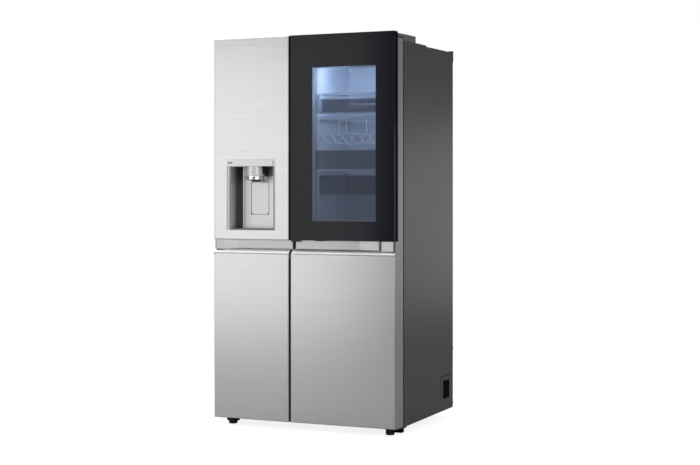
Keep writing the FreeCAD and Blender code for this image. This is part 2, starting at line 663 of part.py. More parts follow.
def make_interior():
    """Cooling parts, shelves, drawers and rack inside the two compartments."""
    fins = [block(("-400 + %d * 20" % n, "-400 + %d * 20 + fin" % n),
                  ("duct_front + duct_sheet + 4", "cavity_back - 3"), ("380", "620"))
            for n in range(16)]
    tubes = [rod("x", ("-405", "610", "%d" % z), "tube", "312") for z in (410, 460, 510, 560, 600)]
    part("evaporator", join(fins + tubes))

    for name, x, first, count in (("freezer_duct_panel", FREEZER_X, "-340", 5),
                                  ("fridge_duct_panel", FRIDGE_X, "66", 6)):
        panel = block(x, ("duct_front", "duct_front + duct_sheet"),
                      ("step_top + corner + 1", "cavity_top - corner - 1"))
        outlets = [block(("%s + %d * 40" % (first, n), "%s + %d * 40 + 20" % (first, n)),
                         ("duct_front - 1", "duct_front + duct_sheet + 1"),
                         ("outlet_low + %d * outlet_pitch" % row,
                          "outlet_low + %d * outlet_pitch + outlet_tall" % row))
                   for n in range(count) for row in range(4)]
        part(name, cut(panel, outlets))

    maker = block(("-402", "-97"), ("shelf_front + 60", "duct_front - 6"),
                  ("1590", "cavity_top - 13"))
    cups = [block(("-392 + %d * 42" % n, "-356 + %d * 42" % n), ("shelf_front + 80", "duct_front - 30"),
                  ("1572", "1591")) for n in range(7)]
    part("ice_maker", join([maker] + cups))

    shelves = ["freezer_shelf_" + letter for letter in "abcd"]
    part("freezer_shelves", group([
        join([block(("-freezer_left + 1", "-freezer_right - 1"),
                    ("shelf_front", "duct_front - 4"), (z + " - 6", z)),
              block(("-freezer_left + 1", "-freezer_right - 1"),
                    ("shelf_front", "shelf_front + 8"), (z + " - 16", z + " + 4"))])
        for z in shelves]))

    glass = []
    trims = []
    for letter in "abcde":
        z = "fridge_shelf_" + letter
        drop = "slim_trim" if letter == "a" else "trim_down"
        glass.append(block(("-fridge_left + rail_wide / 2", "fridge_right - rail_wide / 2"),
                           ("shelf_front + shelf_trim", "shelf_back"), (z + " - shelf_sheet", z)))
        rails = [block(x, ("shelf_front + shelf_trim", "shelf_back + 12"),
                       ("%s - %s" % (z, drop), z + " - shelf_sheet"))
                 for x in (("-fridge_left", "-fridge_left + rail_wide"),
                           ("fridge_right - rail_wide", "fridge_right"))]
        bar = block(FRIDGE_X, ("shelf_front", "shelf_front + shelf_trim"),
                    ("%s - %s" % (z, drop), z + " + trim_up"))
        trims.append(join([bar] + rails))
    part("fridge_shelf_glass", group(glass))
    part("fridge_shelf_trims", group(trims))

    make_rack()
    levels = (("upper", "upper_drawer_low", "upper_drawer_top", "shelf_back"),
              ("lower", "lower_drawer_low", "lower_drawer_top", "lower_drawer_back"))
    for room, x in (("freezer_drawer_", FREEZER_X), ("crisper_", FRIDGE_X)):
        sides = (x[0] + " + drawer_gap", x[1] + " - drawer_gap")
        for level, low, top, back in levels:
            part(room + level, drawer(sides, "shelf_front", back, (low, top)))
    sides = ("-fridge_left + 14", "fridge_right - 14")
    part("deli_drawer", drawer(sides, "deli_front", "shelf_back", ("deli_low", "deli_top")))


def drawer(x, front, back, z):
    """Tub with a pull along its upper front edge."""
    pull = block(("%s + 40" % x[0], "%s - 40" % x[1]), ("%s - pull" % front, "%s + bin_wall" % front),
                 ("%s - 14" % z[1], "%s" % z[1]))
    return join([tub(x, (front, back), z), pull])


def make_rack():
    """Wire rack that hangs under the second shelf: waved wires on two long rods."""
    body = DOC.addObject("PartDesign::Body", "rack")
    wave = [("0", "0")]
    run = "rack_flat"
    wave.append((run, "0"))
    for dip in range(2):
        for width, level in (("rack_slope", "-rack_dip"), ("rack_bed", "-rack_dip"),
                             ("rack_slope", "0"), ("rack_flat", "0")):
            run = run + " + " + width
            wave.append((run, level))
    spine = body.newObject("Sketcher::SketchObject", "spine")
    spine.AttachmentSupport = [(origin_plane(body, "XZ_Plane"), "")]
    spine.MapMode = "FlatFace"
    corners = [FreeCAD.Vector(value(u), value(v), 0) for u, v in wave]
    for index in range(len(corners) - 1):
        spine.addGeometry(Part.LineSegment(corners[index], corners[index + 1]))
    for index in range(len(corners) - 2):
        spine.addConstraint(Sketcher.Constraint("Coincident", index, 2, index + 1, 1))
    for index, (u, v) in enumerate(wave):
        line, end = (index, 1) if index < len(wave) - 1 else (index - 1, 2)
        for kind, size, formula in (("DistanceX", corners[index].x, u),
                                    ("DistanceY", corners[index].y, v)):
            number = spine.addConstraint(Sketcher.Constraint(kind, -1, 1, line, end, size))
            spine.setExpression("Constraints[%d]" % number, bound(formula))
    section = circle_sketch(body, "YZ_Plane", "0", "0", "wire")
    wire = body.newObject("PartDesign::AdditivePipe", "wave")
    wire.Profile = section
    wire.Spine = (spine, [])
    wire.Transition = "Round corner"
    body.Tip = wire
    DOC.recompute()
    waves = []
    for depth in ("0", "110", "220"):
        link = DOC.addObject("Part::Compound", "wire")
        link.Links = [body]
        waves.append(place(link, "-fridge_left + 12", "shelf_front + 20 + " + depth, "rack_high"))
    rods = []
    posts = []
    far_post = "-fridge_left + 12 + rack_flat + 2 * rack_slope + rack_bed + rack_flat / 2"
    for x in ("-fridge_left + 20", far_post):
        rods.append(rod("y", (x, "shelf_front + 14", "rack_high"), "wire", "232"))
        for depth in ("18", "242"):
            posts.append(rod("z", (x, "shelf_front + " + depth, "rack_high"), "wire",
                             "fridge_shelf_b - shelf_sheet - rack_high"))
    part("wine_rack", join(waves + rods + posts))


def make_door_shells():
    """Cores, skins, grips, liners, seals and bins of both doors."""
    freezer_x = ("-width / 2", "-freezer_edge")
    fridge_x = ("-fridge_edge", "width / 2")
    channel = ("channel_low", "upper_low")
    for name, x, sign in (("freezer_door", freezer_x, -1), ("fridge_door", fridge_x, 1)):
        mirror = "%d * " % sign
        axis = mirror + "pivot"
        core = block(x, ("door_sheet", "door_back"), ("door_low", "height"))
        ends = (mirror + "(pivot - notch_half)", mirror + "(width / 2 + 1)")
        notch_x = ends if sign > 0 else (ends[1], ends[0])
        wide = ("%s - 1" % x[0], "%s + 1" % x[1])
        tools = [block(wide, ("0", "channel_back"), channel),
                 block(notch_x, ("notch_front", "door_back + 1"), ("notch_floor", "height + 1")),
                 rod("z", (axis, "pivot_back", "notch_floor - 24"), "pin + play", "26"),
                 rod("z", (axis, "pivot_back", "door_low - 1"), "pin + play", "25")]
        if sign > 0:
            tools.append(block(wide, ("0", "notch_front"), ("upper_low", "height + 1")))
            tools.append(block(("opening_left", "opening_right"), ("0", "door_back + 1"),
                               ("opening_low", "opening_top")))
            tools.extend(hinge_tail_pockets())
        else:
            tools.append(block(("-dispenser_left", "-dispenser_right"), ("0", "dispenser_deep"),
                               ("dispenser_low", "dispenser_top")))
        part(name + "_core", cut(core, tools))
        skin = block(x, ("0", "door_sheet"), ("door_low", "lip_low"))
        part(name + "_lower_skin", rounded(skin, "edge_round", front_edge))
        make_grip(name, x, sign)
    skin = rounded(block(freezer_x, ("0", "door_sheet"), ("upper_low", "height")),
                   "edge_round", front_edge)
    hole = block(("-dispenser_left", "-dispenser_right"), ("-1", "door_sheet + 1"),
                 ("dispenser_low", "dispenser_top"))
    part("freezer_door_upper_skin", cut(skin, [hole]))


def front_edge(edge):
    """True for the straight edges that lie in the front plane."""
    straight = along(2)(edge) or along(0)(edge)
    return straight and abs(edge.CenterOfMass.y - value("-depth / 2")) < 0.01


def make_grip(name, x, sign):
    """Channel trim with its bevelled lip, closed towards the hinge end."""
    profile = [("door_sheet", "channel_low"), ("door_sheet", "lip_low"), ("0", "lip_low"),
               ("0", "lip_front"), ("lip_bevel", "lip_top"), ("lip_back", "lip_top"),
               ("lip_back", "channel_low + 4"), ("channel_back - grip_wall", "channel_low + 4"),
               ("channel_back - grip_wall", "upper_low"), ("channel_back", "upper_low"),
               ("channel_back", "channel_low")]
    mirror = "%d * " % sign
    inner = "channel_back - grip_wall"
    plug = plan_profile([(mirror + "ramp_start", inner), (mirror + "ramp_end", "ramp_depth"),
                         (mirror + "(width / 2 - 10)", "ramp_depth"),
                         (mirror + "(width / 2 - 1)", "ramp_depth + 9"),
                         (mirror + "(width / 2 - 1)", inner)],
                        ("lip_top - 2", "view_low"))

    def ramp_edge(edge):
        """True for the upright edge where the ramp meets the end block."""
        return along(2)(edge) and abs(abs(edge.CenterOfMass.x) - value("ramp_end")) < 1

    trim = join([side_profile(profile, x), rounded(plug, "corner", ramp_edge)])
    if sign > 0:
        trim = cut(trim, hinge_tail_pockets()[:1])
    part(name + "_grip", trim)


def hinge_tail_pockets():
    """Spaces in the fridge door for the outer door's hinge plates, lower one first."""
    return [block(("view_pivot - view_half", "view_pivot + view_half"),
                  ("view_pivot_back", "view_tail"), (low, low + " + view_plate"))
            for low in ("view_low", "view_high")]


def make_door_insides():
    """Liners with towers, seals and bins."""
    hang = ("door_back", "door_back + inner_sheet")
    seal_z = ("seal_low", "seal_top")
    inner_z = ("seal_low + seal_width", "seal_top - seal_width")
    part("freezer_door_gasket", ring(("-seal_edge", "-seal_free_freezer"),
                                     ("door_back", "seal_back"), seal_z, "seal_width"))
    part("fridge_door_gasket", ring(("-seal_free_fridge", "seal_edge"),
                                    ("door_back", "seal_back"), seal_z, "seal_width"))
    sheet = block(("-seal_edge + seal_width", "-seal_free_freezer - seal_width"), hang, inner_z)
    towers = [block(x, ("door_back + 1", "tower_back"), ("640", "1660"))
              for x in (("-402", "-402 + tower_wall"), ("-112 - tower_wall", "-112"))]
    between = ("-402 + tower_wall", "-112 - tower_wall")
    bulge = block(between, ("door_back + 1", "bulge_back"),
                  ("dispenser_low - 12", "dispenser_top + 12"))
    hole = block(("-dispenser_left", "-dispenser_right"), ("door_back - 1", "dispenser_deep"),
                 ("dispenser_low", "dispenser_top"))
    part("freezer_door_liner", cut(join([sheet, bulge] + towers), [hole]))
    bins = [tub(between, ("door_back + inner_sheet", "bin_back"), (low, low + " + bin_tall"))
            for low in ("650", "1270", "1480")]
    part("freezer_door_bins", group(bins))

    sheet = block(("-seal_free_fridge + seal_width", "seal_edge - seal_width"), hang, inner_z)
    sleeve = block(("opening_left - tower_wall", "opening_right + tower_wall"),
                   ("door_back + 1", "sleeve_back"),
                   ("opening_low - tower_wall", "opening_top + tower_wall"))
    hole = block(("opening_left", "opening_right"), ("0", "sleeve_back + 1"),
                 ("opening_low", "opening_top"))
    part("fridge_door_liner", cut(join([sheet, sleeve]), [hole]))
    shelves = [tub(("opening_left", "opening_right"), ("view_back + 12", "inner_bin_back"),
                   (low, top)) for low, top in (("opening_low", "945"), ("1184", "1269"),
                                                ("1436", "1525"))]
    low_bin = tub(("opening_left", "opening_right"), ("door_back + inner_sheet", "bin_back"),
                  ("670", "670 + bin_tall"))
    part("fridge_door_bins", group(shelves + [low_bin]))


def make_dispenser():
    """Housing, control strip, spout, paddle and tray."""
    outer = block(("-dispenser_left", "-dispenser_right"), ("0", "dispenser_deep"),
                  ("dispenser_low", "dispenser_top"))
    recess = plan_profile([
        ("-dispenser_left + dispenser_wall", "-0.5"), ("-dispenser_left + 8", "3"),
        ("-dispenser_left + 14.5", "9"), ("-dispenser_left + 18", "18"),
        ("-recess_left", "recess_back"), ("-recess_right", "recess_back"),
        ("-dispenser_right - 18", "18"), ("-dispenser_right - 14.5", "9"),
        ("-dispenser_right - 8", "3"), ("-dispenser_right - dispenser_wall", "-0.5")],
        ("dispenser_low + 4", "dispenser_top - 4"))
    pocket = block(("-spout_centre - paddle_half - pocket_gap",
                    "-spout_centre + paddle_half + pocket_gap"),
                   ("recess_back - 1", "pocket_back"),
                   ("paddle_low - pocket_gap", "paddle_pivot + 4 + pocket_gap"))
    bore = rod("x", ("-spout_centre - paddle_half - 12", "paddle_axis", "paddle_pivot"),
               "paddle_pin + play", "2 * paddle_half + 24")
    strip_x = ("-dispenser_left", "-dispenser_right")
    strip_z = ("strip_low", "dispenser_top")
    seat = block(strip_x, ("-1", "strip_deep"), strip_z)
    part("dispenser_housing", cut(outer, [recess, pocket, bore, seat]))
    strip = block(strip_x, ("0", "strip_deep"), strip_z)
    part("dispenser_control_strip", rounded(strip, "cheek_gap", lambda edge: along(0)(edge)))

    axis = ("-spout_centre", "spout_back")
    room = cut(block(("-spout_centre - 80", "-spout_centre + 80"), ("1.5", "recess_back"),
                     ("nozzle_low - 5", "dispenser_top - 4")),
               [block(strip_x, ("-1", "strip_deep"), strip_z)])
    spout = join([rod("z", axis + ("spout_low",), "spout_round", "dispenser_top - 4 - spout_low"),
                  rod("z", axis + ("ring_low",), "spout_round + 1.5", "spout_low - ring_low"),
                  rod("z", axis + ("nozzle_low",), "nozzle_round", "ring_low - nozzle_low")])
    trimmed = DOC.addObject("Part::Common", "trimmed")
    trimmed.Base = spout
    trimmed.Tool = room
    part("dispenser_spout", trimmed)

    leaf = rounded(block(("-spout_centre - paddle_half", "-spout_centre + paddle_half"),
                         ("paddle_back - paddle_thick / 2", "paddle_back + paddle_thick / 2"),
                         ("paddle_low", "paddle_pivot + 4")), "corner",
                   lambda edge: along(1)(edge) and edge.CenterOfMass.z < 1000)
    hinge = rod("x", ("-spout_centre - paddle_half - 10", "paddle_axis", "paddle_pivot"),
                "paddle_pin", "2 * paddle_half + 20")
    part("dispenser_paddle", join([leaf, hinge]))

    tray = plan_profile([
        ("-dispenser_left + 20", "20"), ("-recess_left + 3", "recess_back - 3"),
        ("-recess_right - 3", "recess_back - 3"), ("-dispenser_right - 20", "20")],
        ("dispenser_low + 4", "tray_top"))
    slots = [block(("-334 + %d * 18" % n, "-326 + %d * 18" % n), ("28", "recess_back - 12"),
                   ("dispenser_low + 7", "tray_top + 1")) for n in range(9)]
    part("dispenser_tray", cut(tray, slots))


def make_view_door():
    """Outer glass door: glass, frame, inner pane, seal, hinges and push latch."""
    x = ("-fridge_edge", "width / 2")
    glass = block(x, ("0", "glass_sheet"), ("upper_low + 1", "height"))
    part("view_door_glass", rounded(glass, "cheek_gap", lambda edge: along(2)(edge)))
    slim = ("-fridge_edge + view_edge", "width / 2 - view_edge")
    frame = block(slim, ("glass_sheet", "view_back"), ("upper_low + 1.5", "height - view_edge"))
    window = (("window_left", "window_right"), ("window_low", "window_top"))
    tools = [
        block(window[0], ("glass_sheet - 1", "view_back + 1"), window[1]),
        block(("view_pivot - 9.5", "width / 2 + 1"), ("glass_sheet + 0.8", "view_back + 1"),
              ("view_high - slide_gap", "view_high + view_plate + slide_gap")),
        rod("z", ("view_pivot", "view_pivot_back", "upper_low"), "view_pin + play", "22"),
        rod("z", ("view_pivot", "view_pivot_back", "view_high + view_plate"),
            "view_pin + play", "22"),
        block(("button_left - slide_gap", "button_right + slide_gap"),
              ("button_front - slide_gap", "button_back + slide_gap"),
              ("upper_low", "button_room")),
    ]
    part("view_door_frame", cut(frame, tools))
    part("view_door_pane", block(window[0], ("pane_front", "pane_front + glass_sheet"), window[1]))
    part("view_door_gasket", ring(("-20", "424"), ("view_back", "view_seal_back"),
                                  ("885", "1740"), "14"))
    plates = []
    for low in ("view_low", "view_high"):
        plates.append(join([
            block(("view_pivot - view_half", "view_pivot + view_half"),
                  ("view_pivot_back", "view_tail"), (low, low + " + view_plate")),
            rod("z", ("view_pivot", "view_pivot_back", low), "view_half", "view_plate"),
            rod("z", ("view_pivot", "view_pivot_back", low + " + view_plate"),
                "view_pin", "pin_tall")]))
    part("view_door_hinges", group(plates))
    button = block(("button_left", "button_right"), ("button_front", "button_back"),
                   ("button_low", "button_top"))
    part("latch_button", rounded(button, "cheek_gap", along(2)))


def write_parts():
    """Check every object and shape, then write one STEP file for each sub-part."""
    DOC.removeObject(SCRATCH.Name)
    DOC.recompute()
    failed = [item.Label for item in DOC.Objects if {"Invalid", "Error"} & set(item.State)]
    if failed:
        raise RuntimeError("failed objects: %s" % failed)
    for item in PARTS:
        if item.Shape.isNull() or not item.Shape.isValid() or not item.Shape.Solids:
            raise RuntimeError("bad shape: %s" % item.Label)
    os.makedirs("parts", exist_ok=True)
    for item in PARTS:
        item.Shape.exportStep("parts/%s.step" % item.Label)
        box = item.Shape.BoundBox
        print("%-26s %2d solid(s)  X %7.1f %7.1f  Y %7.1f %7.1f  Z %7.1f %7.1f" % (
            item.Label, len(item.Shape.Solids), box.XMin, box.XMax, box.YMin, box.YMax,
            box.ZMin, box.ZMax))


fill_sheet()
make_case()
make_base()
make_hinges()
make_machine_room()
make_interior()
make_door_shells()
make_door_insides()
make_dispenser()
make_view_door()
write_parts()
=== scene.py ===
import json
import math

import bmesh
import bpy
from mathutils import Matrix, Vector


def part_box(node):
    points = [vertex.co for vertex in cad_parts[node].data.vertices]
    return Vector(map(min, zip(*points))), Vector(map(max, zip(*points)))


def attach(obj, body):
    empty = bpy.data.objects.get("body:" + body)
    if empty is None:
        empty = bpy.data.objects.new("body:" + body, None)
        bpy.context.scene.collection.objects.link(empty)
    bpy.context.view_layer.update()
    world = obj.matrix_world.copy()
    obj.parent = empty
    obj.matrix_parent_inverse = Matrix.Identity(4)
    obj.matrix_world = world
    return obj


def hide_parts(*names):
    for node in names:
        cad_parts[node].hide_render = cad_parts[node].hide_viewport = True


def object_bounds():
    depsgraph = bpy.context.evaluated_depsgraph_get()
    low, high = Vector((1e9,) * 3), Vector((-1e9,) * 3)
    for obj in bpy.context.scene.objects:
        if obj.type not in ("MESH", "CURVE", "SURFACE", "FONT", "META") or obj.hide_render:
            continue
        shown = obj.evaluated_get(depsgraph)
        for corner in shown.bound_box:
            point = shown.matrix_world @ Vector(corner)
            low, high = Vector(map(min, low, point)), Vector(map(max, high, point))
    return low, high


# Side by side refrigerator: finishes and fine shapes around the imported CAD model.
# Every mesh is built in the row frame, in metres, with its object at the origin.

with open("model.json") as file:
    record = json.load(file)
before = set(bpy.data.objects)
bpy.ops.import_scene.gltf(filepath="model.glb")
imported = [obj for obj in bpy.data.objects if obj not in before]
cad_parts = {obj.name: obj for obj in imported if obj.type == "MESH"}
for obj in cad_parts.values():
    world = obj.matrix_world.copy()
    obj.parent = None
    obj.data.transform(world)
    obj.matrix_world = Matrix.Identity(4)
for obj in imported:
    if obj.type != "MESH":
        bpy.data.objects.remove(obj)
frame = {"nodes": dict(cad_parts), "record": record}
CAD_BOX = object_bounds()
MM = 0.001
FRONT = CAD_BOX[0][1]
WELD = 0.00002
BODY_OF = {node: body for body, nodes in frame["record"]["behaviour"]["bodies"].items()
           for node in nodes}


# ---------------------------------------------------------------- materials

def shader(name, color, roughness, metallic=0.0, **sockets):
    """A Principled material; extra sockets are named with underscores for spaces."""
    mat = bpy.data.materials.new(name)
    mat.use_nodes = True
    bsdf = mat.node_tree.nodes["Principled BSDF"]
    bsdf.inputs["Base Color"].default_value = (*color, 1.0)
    bsdf.inputs["Roughness"].default_value = roughness
    bsdf.inputs["Metallic"].default_value = metallic
    for key, number in sockets.items():
        bsdf.inputs[key.replace("_", " ")].default_value = number
    return mat


def noise(mat, scale, detail=4.0, rough=0.55):
    """Noise over the row frame; scale is per metre along X, Y and Z."""
    nodes, links = mat.node_tree.nodes, mat.node_tree.links
    place = nodes.new("ShaderNodeTexCoord")
    stretch = nodes.new("ShaderNodeMapping")
    stretch.inputs["Scale"].default_value = scale
    links.new(place.outputs["Object"], stretch.inputs["Vector"])
    texture = nodes.new("ShaderNodeTexNoise")
    texture.inputs["Scale"].default_value = 1.0
    texture.inputs["Detail"].default_value = detail
    texture.inputs["Roughness"].default_value = rough
    links.new(stretch.outputs["Vector"], texture.inputs["Vector"])
    return texture.outputs["Fac"]


def spread(mat, source, low, high, start=0.3, end=0.7):
    """Map a 0 to 1 value to a range."""
    node = mat.node_tree.nodes.new("ShaderNodeMapRange")
    node.inputs["From Min"].default_value = start
    node.inputs["From Max"].default_value = end
    node.inputs["To Min"].default_value = low
    node.inputs["To Max"].default_value = high
    mat.node_tree.links.new(source, node.inputs["Value"])
    return node.outputs["Result"]


def shade(color, factor):
    """The colour made darker or lighter, with no channel above one."""
    return tuple(min(1.0, c * factor) for c in color)


def tint(mat, source, dark, light):
    """Vary the base colour between two colours."""
    node = mat.node_tree.nodes.new("ShaderNodeMix")
    node.data_type = "RGBA"
    node.inputs["A"].default_value = (*dark, 1.0)
    node.inputs["B"].default_value = (*light, 1.0)
    links = mat.node_tree.links
    links.new(spread(mat, source, 0.0, 1.0), node.inputs["Factor"])
    links.new(node.outputs["Result"], mat.node_tree.nodes["Principled BSDF"].inputs["Base Color"])


def relief(mat, source, distance, strength=0.5):
    """Bump from a value; distance in metres."""
    node = mat.node_tree.nodes.new("ShaderNodeBump")
    node.inputs["Strength"].default_value = strength
    node.inputs["Distance"].default_value = distance
    links = mat.node_tree.links
    links.new(source, node.inputs["Height"])
    links.new(node.outputs["Normal"], mat.node_tree.nodes["Principled BSDF"].inputs["Normal"])


def vary(mat, source, socket, low, high):
    """Drive a Principled socket from a value."""
    target = mat.node_tree.nodes["Principled BSDF"].inputs[socket]
    mat.node_tree.links.new(spread(mat, source, low, high), target)


def brushed(name, color, low, high):
    """Metal with fine horizontal brushing; low and high bound its roughness."""
    mat = shader(name, color, low, 1.0)
    fine = noise(mat, (14.0, 14.0, 2600.0), 3.0)
    wide = noise(mat, (1.2, 1.2, 160.0), 5.0)
    streaks = noise(mat, (5.0, 5.0, 210.0), 4.0, 0.7)
    vary(mat, wide, "Roughness", low, high)
    tint(mat, streaks, shade(color, 0.968), shade(color, 1.026))
    relief(mat, fine, 0.00004, 0.35)
    return mat


def moulded(name, color, roughness, grain=900.0, depth=0.00006, **sockets):
    """Plastic or paint with a fine moulded or sprayed texture."""
    mat = shader(name, color, roughness, **sockets)
    fine = noise(mat, (grain, grain, grain), 3.0)
    cloudy = noise(mat, (5.0, 5.0, 5.0), 3.0)
    vary(mat, cloudy, "Roughness", roughness * 0.97, roughness * 1.03)
    tint(mat, cloudy, shade(color, 0.99), shade(color, 1.01))
    relief(mat, fine, depth, 0.5)
    return mat


def see_through(name, color, face, edge, roughness):
    """Clear glass or plastic: nearly empty face on, more solid at grazing angles."""
    mat = shader(name, color, roughness)
    nodes, links = mat.node_tree.nodes, mat.node_tree.links
    weight = nodes.new("ShaderNodeLayerWeight")
    weight.inputs["Blend"].default_value = 0.35
    alpha = spread(mat, weight.outputs["Facing"], face, edge, 0.0, 1.0)
    links.new(alpha, nodes["Principled BSDF"].inputs["Alpha"])
    haze = noise(mat, (6.0, 6.0, 6.0), 3.0)
    vary(mat, haze, "Roughness", roughness, roughness * 1.8)
    return mat


def spangled(name, color):
    """Zinc-coated sheet."""
    mat = shader(name, color, 0.42, 0.75)
    nodes, links = mat.node_tree.nodes, mat.node_tree.links
    place = nodes.new("ShaderNodeTexCoord")
    cells = nodes.new("ShaderNodeTexVoronoi")
    cells.inputs["Scale"].default_value = 120.0
    links.new(place.outputs["Object"], cells.inputs["Vector"])
    vary(mat, cells.outputs["Distance"], "Roughness", 0.36, 0.5)
    tint(mat, cells.outputs["Distance"], shade(color, 0.94), shade(color, 1.05))
    relief(mat, noise(mat, (700.0, 700.0, 700.0)), 0.00003, 0.4)
    return mat


def graded(name, near, far, y0, y1, roughness):
    """Satin surface whose colour darkens with depth between two Y positions: painted shade deepening
    into a recess.
    """
    mat = shader(name, far, roughness, 0.6)
    nodes, links = mat.node_tree.nodes, mat.node_tree.links
    place = nodes.new("ShaderNodeTexCoord")
    split = nodes.new("ShaderNodeSeparateXYZ")
    links.new(place.outputs["Object"], split.inputs["Vector"])
    depth = nodes.new("ShaderNodeMapRange")
    depth.inputs["From Min"].default_value = y0
    depth.inputs["From Max"].default_value = y1
    links.new(split.outputs["Y"], depth.inputs["Value"])
    tint(mat, depth.outputs["Result"], near, far)
    relief(mat, noise(mat, (1400.0, 1400.0, 1400.0)), 0.00001, 0.4)
    vary(mat, noise(mat, (9.0, 9.0, 9.0)), "Roughness", roughness * 0.9, roughness * 1.15)
    return mat


def glowing(name, color, strength):
    """Lit lens that gives off light of its own."""
    mat = shader(name, color, 0.4)
    bsdf = mat.node_tree.nodes["Principled BSDF"]
    bsdf.inputs["Emission Color"].default_value = (*color, 1.0)
    vary(mat, noise(mat, (60.0, 60.0, 60.0)), "Emission Strength", strength * 0.9, strength * 1.1)
    return mat


FINISH = {
    "stainless": brushed("stainless_front", (0.80, 0.80, 0.81), 0.30, 0.36),
    "grip_metal": brushed("grip_metal", (0.52, 0.52, 0.51), 0.22, 0.28),
    "case": moulded("case_paint", (0.104, 0.104, 0.101), 0.42, 1300.0, 0.00008),
    "door_side": moulded("door_side_paint", (0.44, 0.44, 0.45), 0.42, 1100.0, 0.00005),
    "black_glass": moulded("black_glass", (0.0012, 0.0016, 0.0085), 0.16, 30.0, 0.000004,
                           Specular_IOR_Level=0.38),
    "black_gloss": moulded("black_gloss", (0.008, 0.008, 0.009), 0.22, 900.0, 0.00002),
    "window": see_through("window_glass", (0.05, 0.07, 0.16), 0.16, 0.5, 0.02),
    "pane": see_through("clear_pane", (0.75, 0.82, 0.95), 0.03, 0.3, 0.02),
    "shelf_glass": see_through("shelf_glass", (0.66, 0.80, 0.84), 0.06, 0.5, 0.03),
    "clear": see_through("clear_plastic", (0.78, 0.87, 0.97), 0.035, 0.6, 0.06),
    "clear_rim": see_through("clear_rim", (0.80, 0.88, 0.97), 0.45, 0.9, 0.08),
    "liner": moulded("white_liner", (0.70, 0.74, 0.80), 0.28, 500.0, 0.00004),
    "light": moulded("light_plastic", (0.60, 0.63, 0.68), 0.33, 900.0, 0.00003),
    "silver": moulded("silver_plastic", (0.77, 0.77, 0.78), 0.32, 1400.0, 0.00002,
                      Metallic=0.75),
    # Painted shade: light grey at the recess mouth fading to near black deeper in, for the
    # dispenser's left wall.
    "recess_painted_shade": graded("painted_recess_shade", (0.66, 0.66, 0.67), (0.075, 0.075, 0.078),
                    FRONT - 0.006, FRONT + 0.068, 0.24),
    "spout": moulded("spout_plastic", (0.97, 0.97, 0.98), 0.42, 1400.0, 0.00002,
                     Metallic=0.65),
    "bright": brushed("bright_trim", (0.86, 0.86, 0.87), 0.12, 0.2),
    "grey": moulded("grey_plastic", (0.24, 0.24, 0.215), 0.45, 1200.0, 0.00007),
    "black": moulded("black_plastic", (0.010, 0.010, 0.011), 0.46, 1200.0, 0.00007),
    "matte": moulded("matte_black", (0.004, 0.004, 0.004), 0.85, 1200.0, 0.00004,
                     Specular_IOR_Level=0.08),
    "rubber": moulded("black_rubber", (0.012, 0.012, 0.012), 0.62, 1500.0, 0.00006),
    "seal": moulded("seal_rubber", (0.10, 0.10, 0.105), 0.6, 1500.0, 0.00005),
    "steel": moulded("coated_steel", (0.018, 0.018, 0.018), 0.4, 1500.0, 0.00004,
                     Metallic=0.3),
    "zinc": spangled("zinc_sheet", (0.46, 0.47, 0.48)),
    "foam": moulded("insulating_foam", (0.72, 0.66, 0.42), 0.9, 700.0, 0.0004),
    "fins": brushed("bare_fins", (0.72, 0.73, 0.74), 0.3, 0.42),
    "chrome": moulded("bright_wire", (0.90, 0.91, 0.93), 0.30, 2000.0, 0.00001, Metallic=0.4),
    "print": moulded("grey_print", (0.14, 0.14, 0.15), 0.5, 1500.0, 0.00002),
    "lamp": glowing("lit_lens", (0.80, 0.90, 1.0), 2.2),
}


# ---------------------------------------------------------------- mesh code

def finish_mesh(name, bm, mat, body, stands_for=(), smooth=32):
    """Turn a bmesh into a piece that rides on a body."""
    bmesh.ops.recalc_face_normals(bm, faces=bm.faces)
    mesh = bpy.data.meshes.new(name)
    bm.to_mesh(mesh)
    bm.free()
    mesh.polygons.foreach_set("use_smooth", [True] * len(mesh.polygons))
    mesh.set_sharp_from_angle(angle=math.radians(smooth))
    mesh.materials.append(mat)
    piece = bpy.data.objects.new(name, mesh)
    bpy.context.scene.collection.objects.link(piece)
    level = piece.modifiers.new("flat_faces", "WEIGHTED_NORMAL")
    level.keep_sharp = True
    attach(piece, body)
    if stands_for:
        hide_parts(*stands_for)


def soften(bm, width, angle=28, segments=2):
    """Bevel every edge sharper than an angle."""
    limit = math.radians(angle)
    sharp = [e for e in bm.edges if len(e.link_faces) == 2 and e.calc_face_angle(0.0) > limit]
    if sharp and width > 0:
        bmesh.ops.bevel(bm, geom=sharp, offset=width, segments=segments, profile=0.6,
                        affect="EDGES", clamp_overlap=True)


def refine(node, mat, width):
    """The CAD node's own shape with its edges softened by a width in millimetres."""
    bm = bmesh.new()
    bm.from_mesh(frame["nodes"][node].data)
    bmesh.ops.remove_doubles(bm, verts=bm.verts, dist=WELD)
    bmesh.ops.dissolve_limit(bm, angle_limit=math.radians(0.5), verts=bm.verts, edges=bm.edges)
    soften(bm, width * MM)
    finish_mesh(node + "_piece", bm, mat, BODY_OF[node], (node,))


def add_box(bm, low, high):
    """Add a box between two corners."""
    low, high = Vector(low), Vector(high)
    for vert in bmesh.ops.create_cube(bm, size=1.0)["verts"]:
        vert.co = Vector([low[i] if vert.co[i] < 0 else high[i] for i in range(3)])


def boxes(name, corners, mat, body, width, segments=2):
    """One piece from several boxes, their edges softened by a width in millimetres."""
    bm = bmesh.new()
    for low, high in corners:
        add_box(bm, low, high)
    soften(bm, width * MM, segments=segments)
    finish_mesh(name, bm, mat, body)


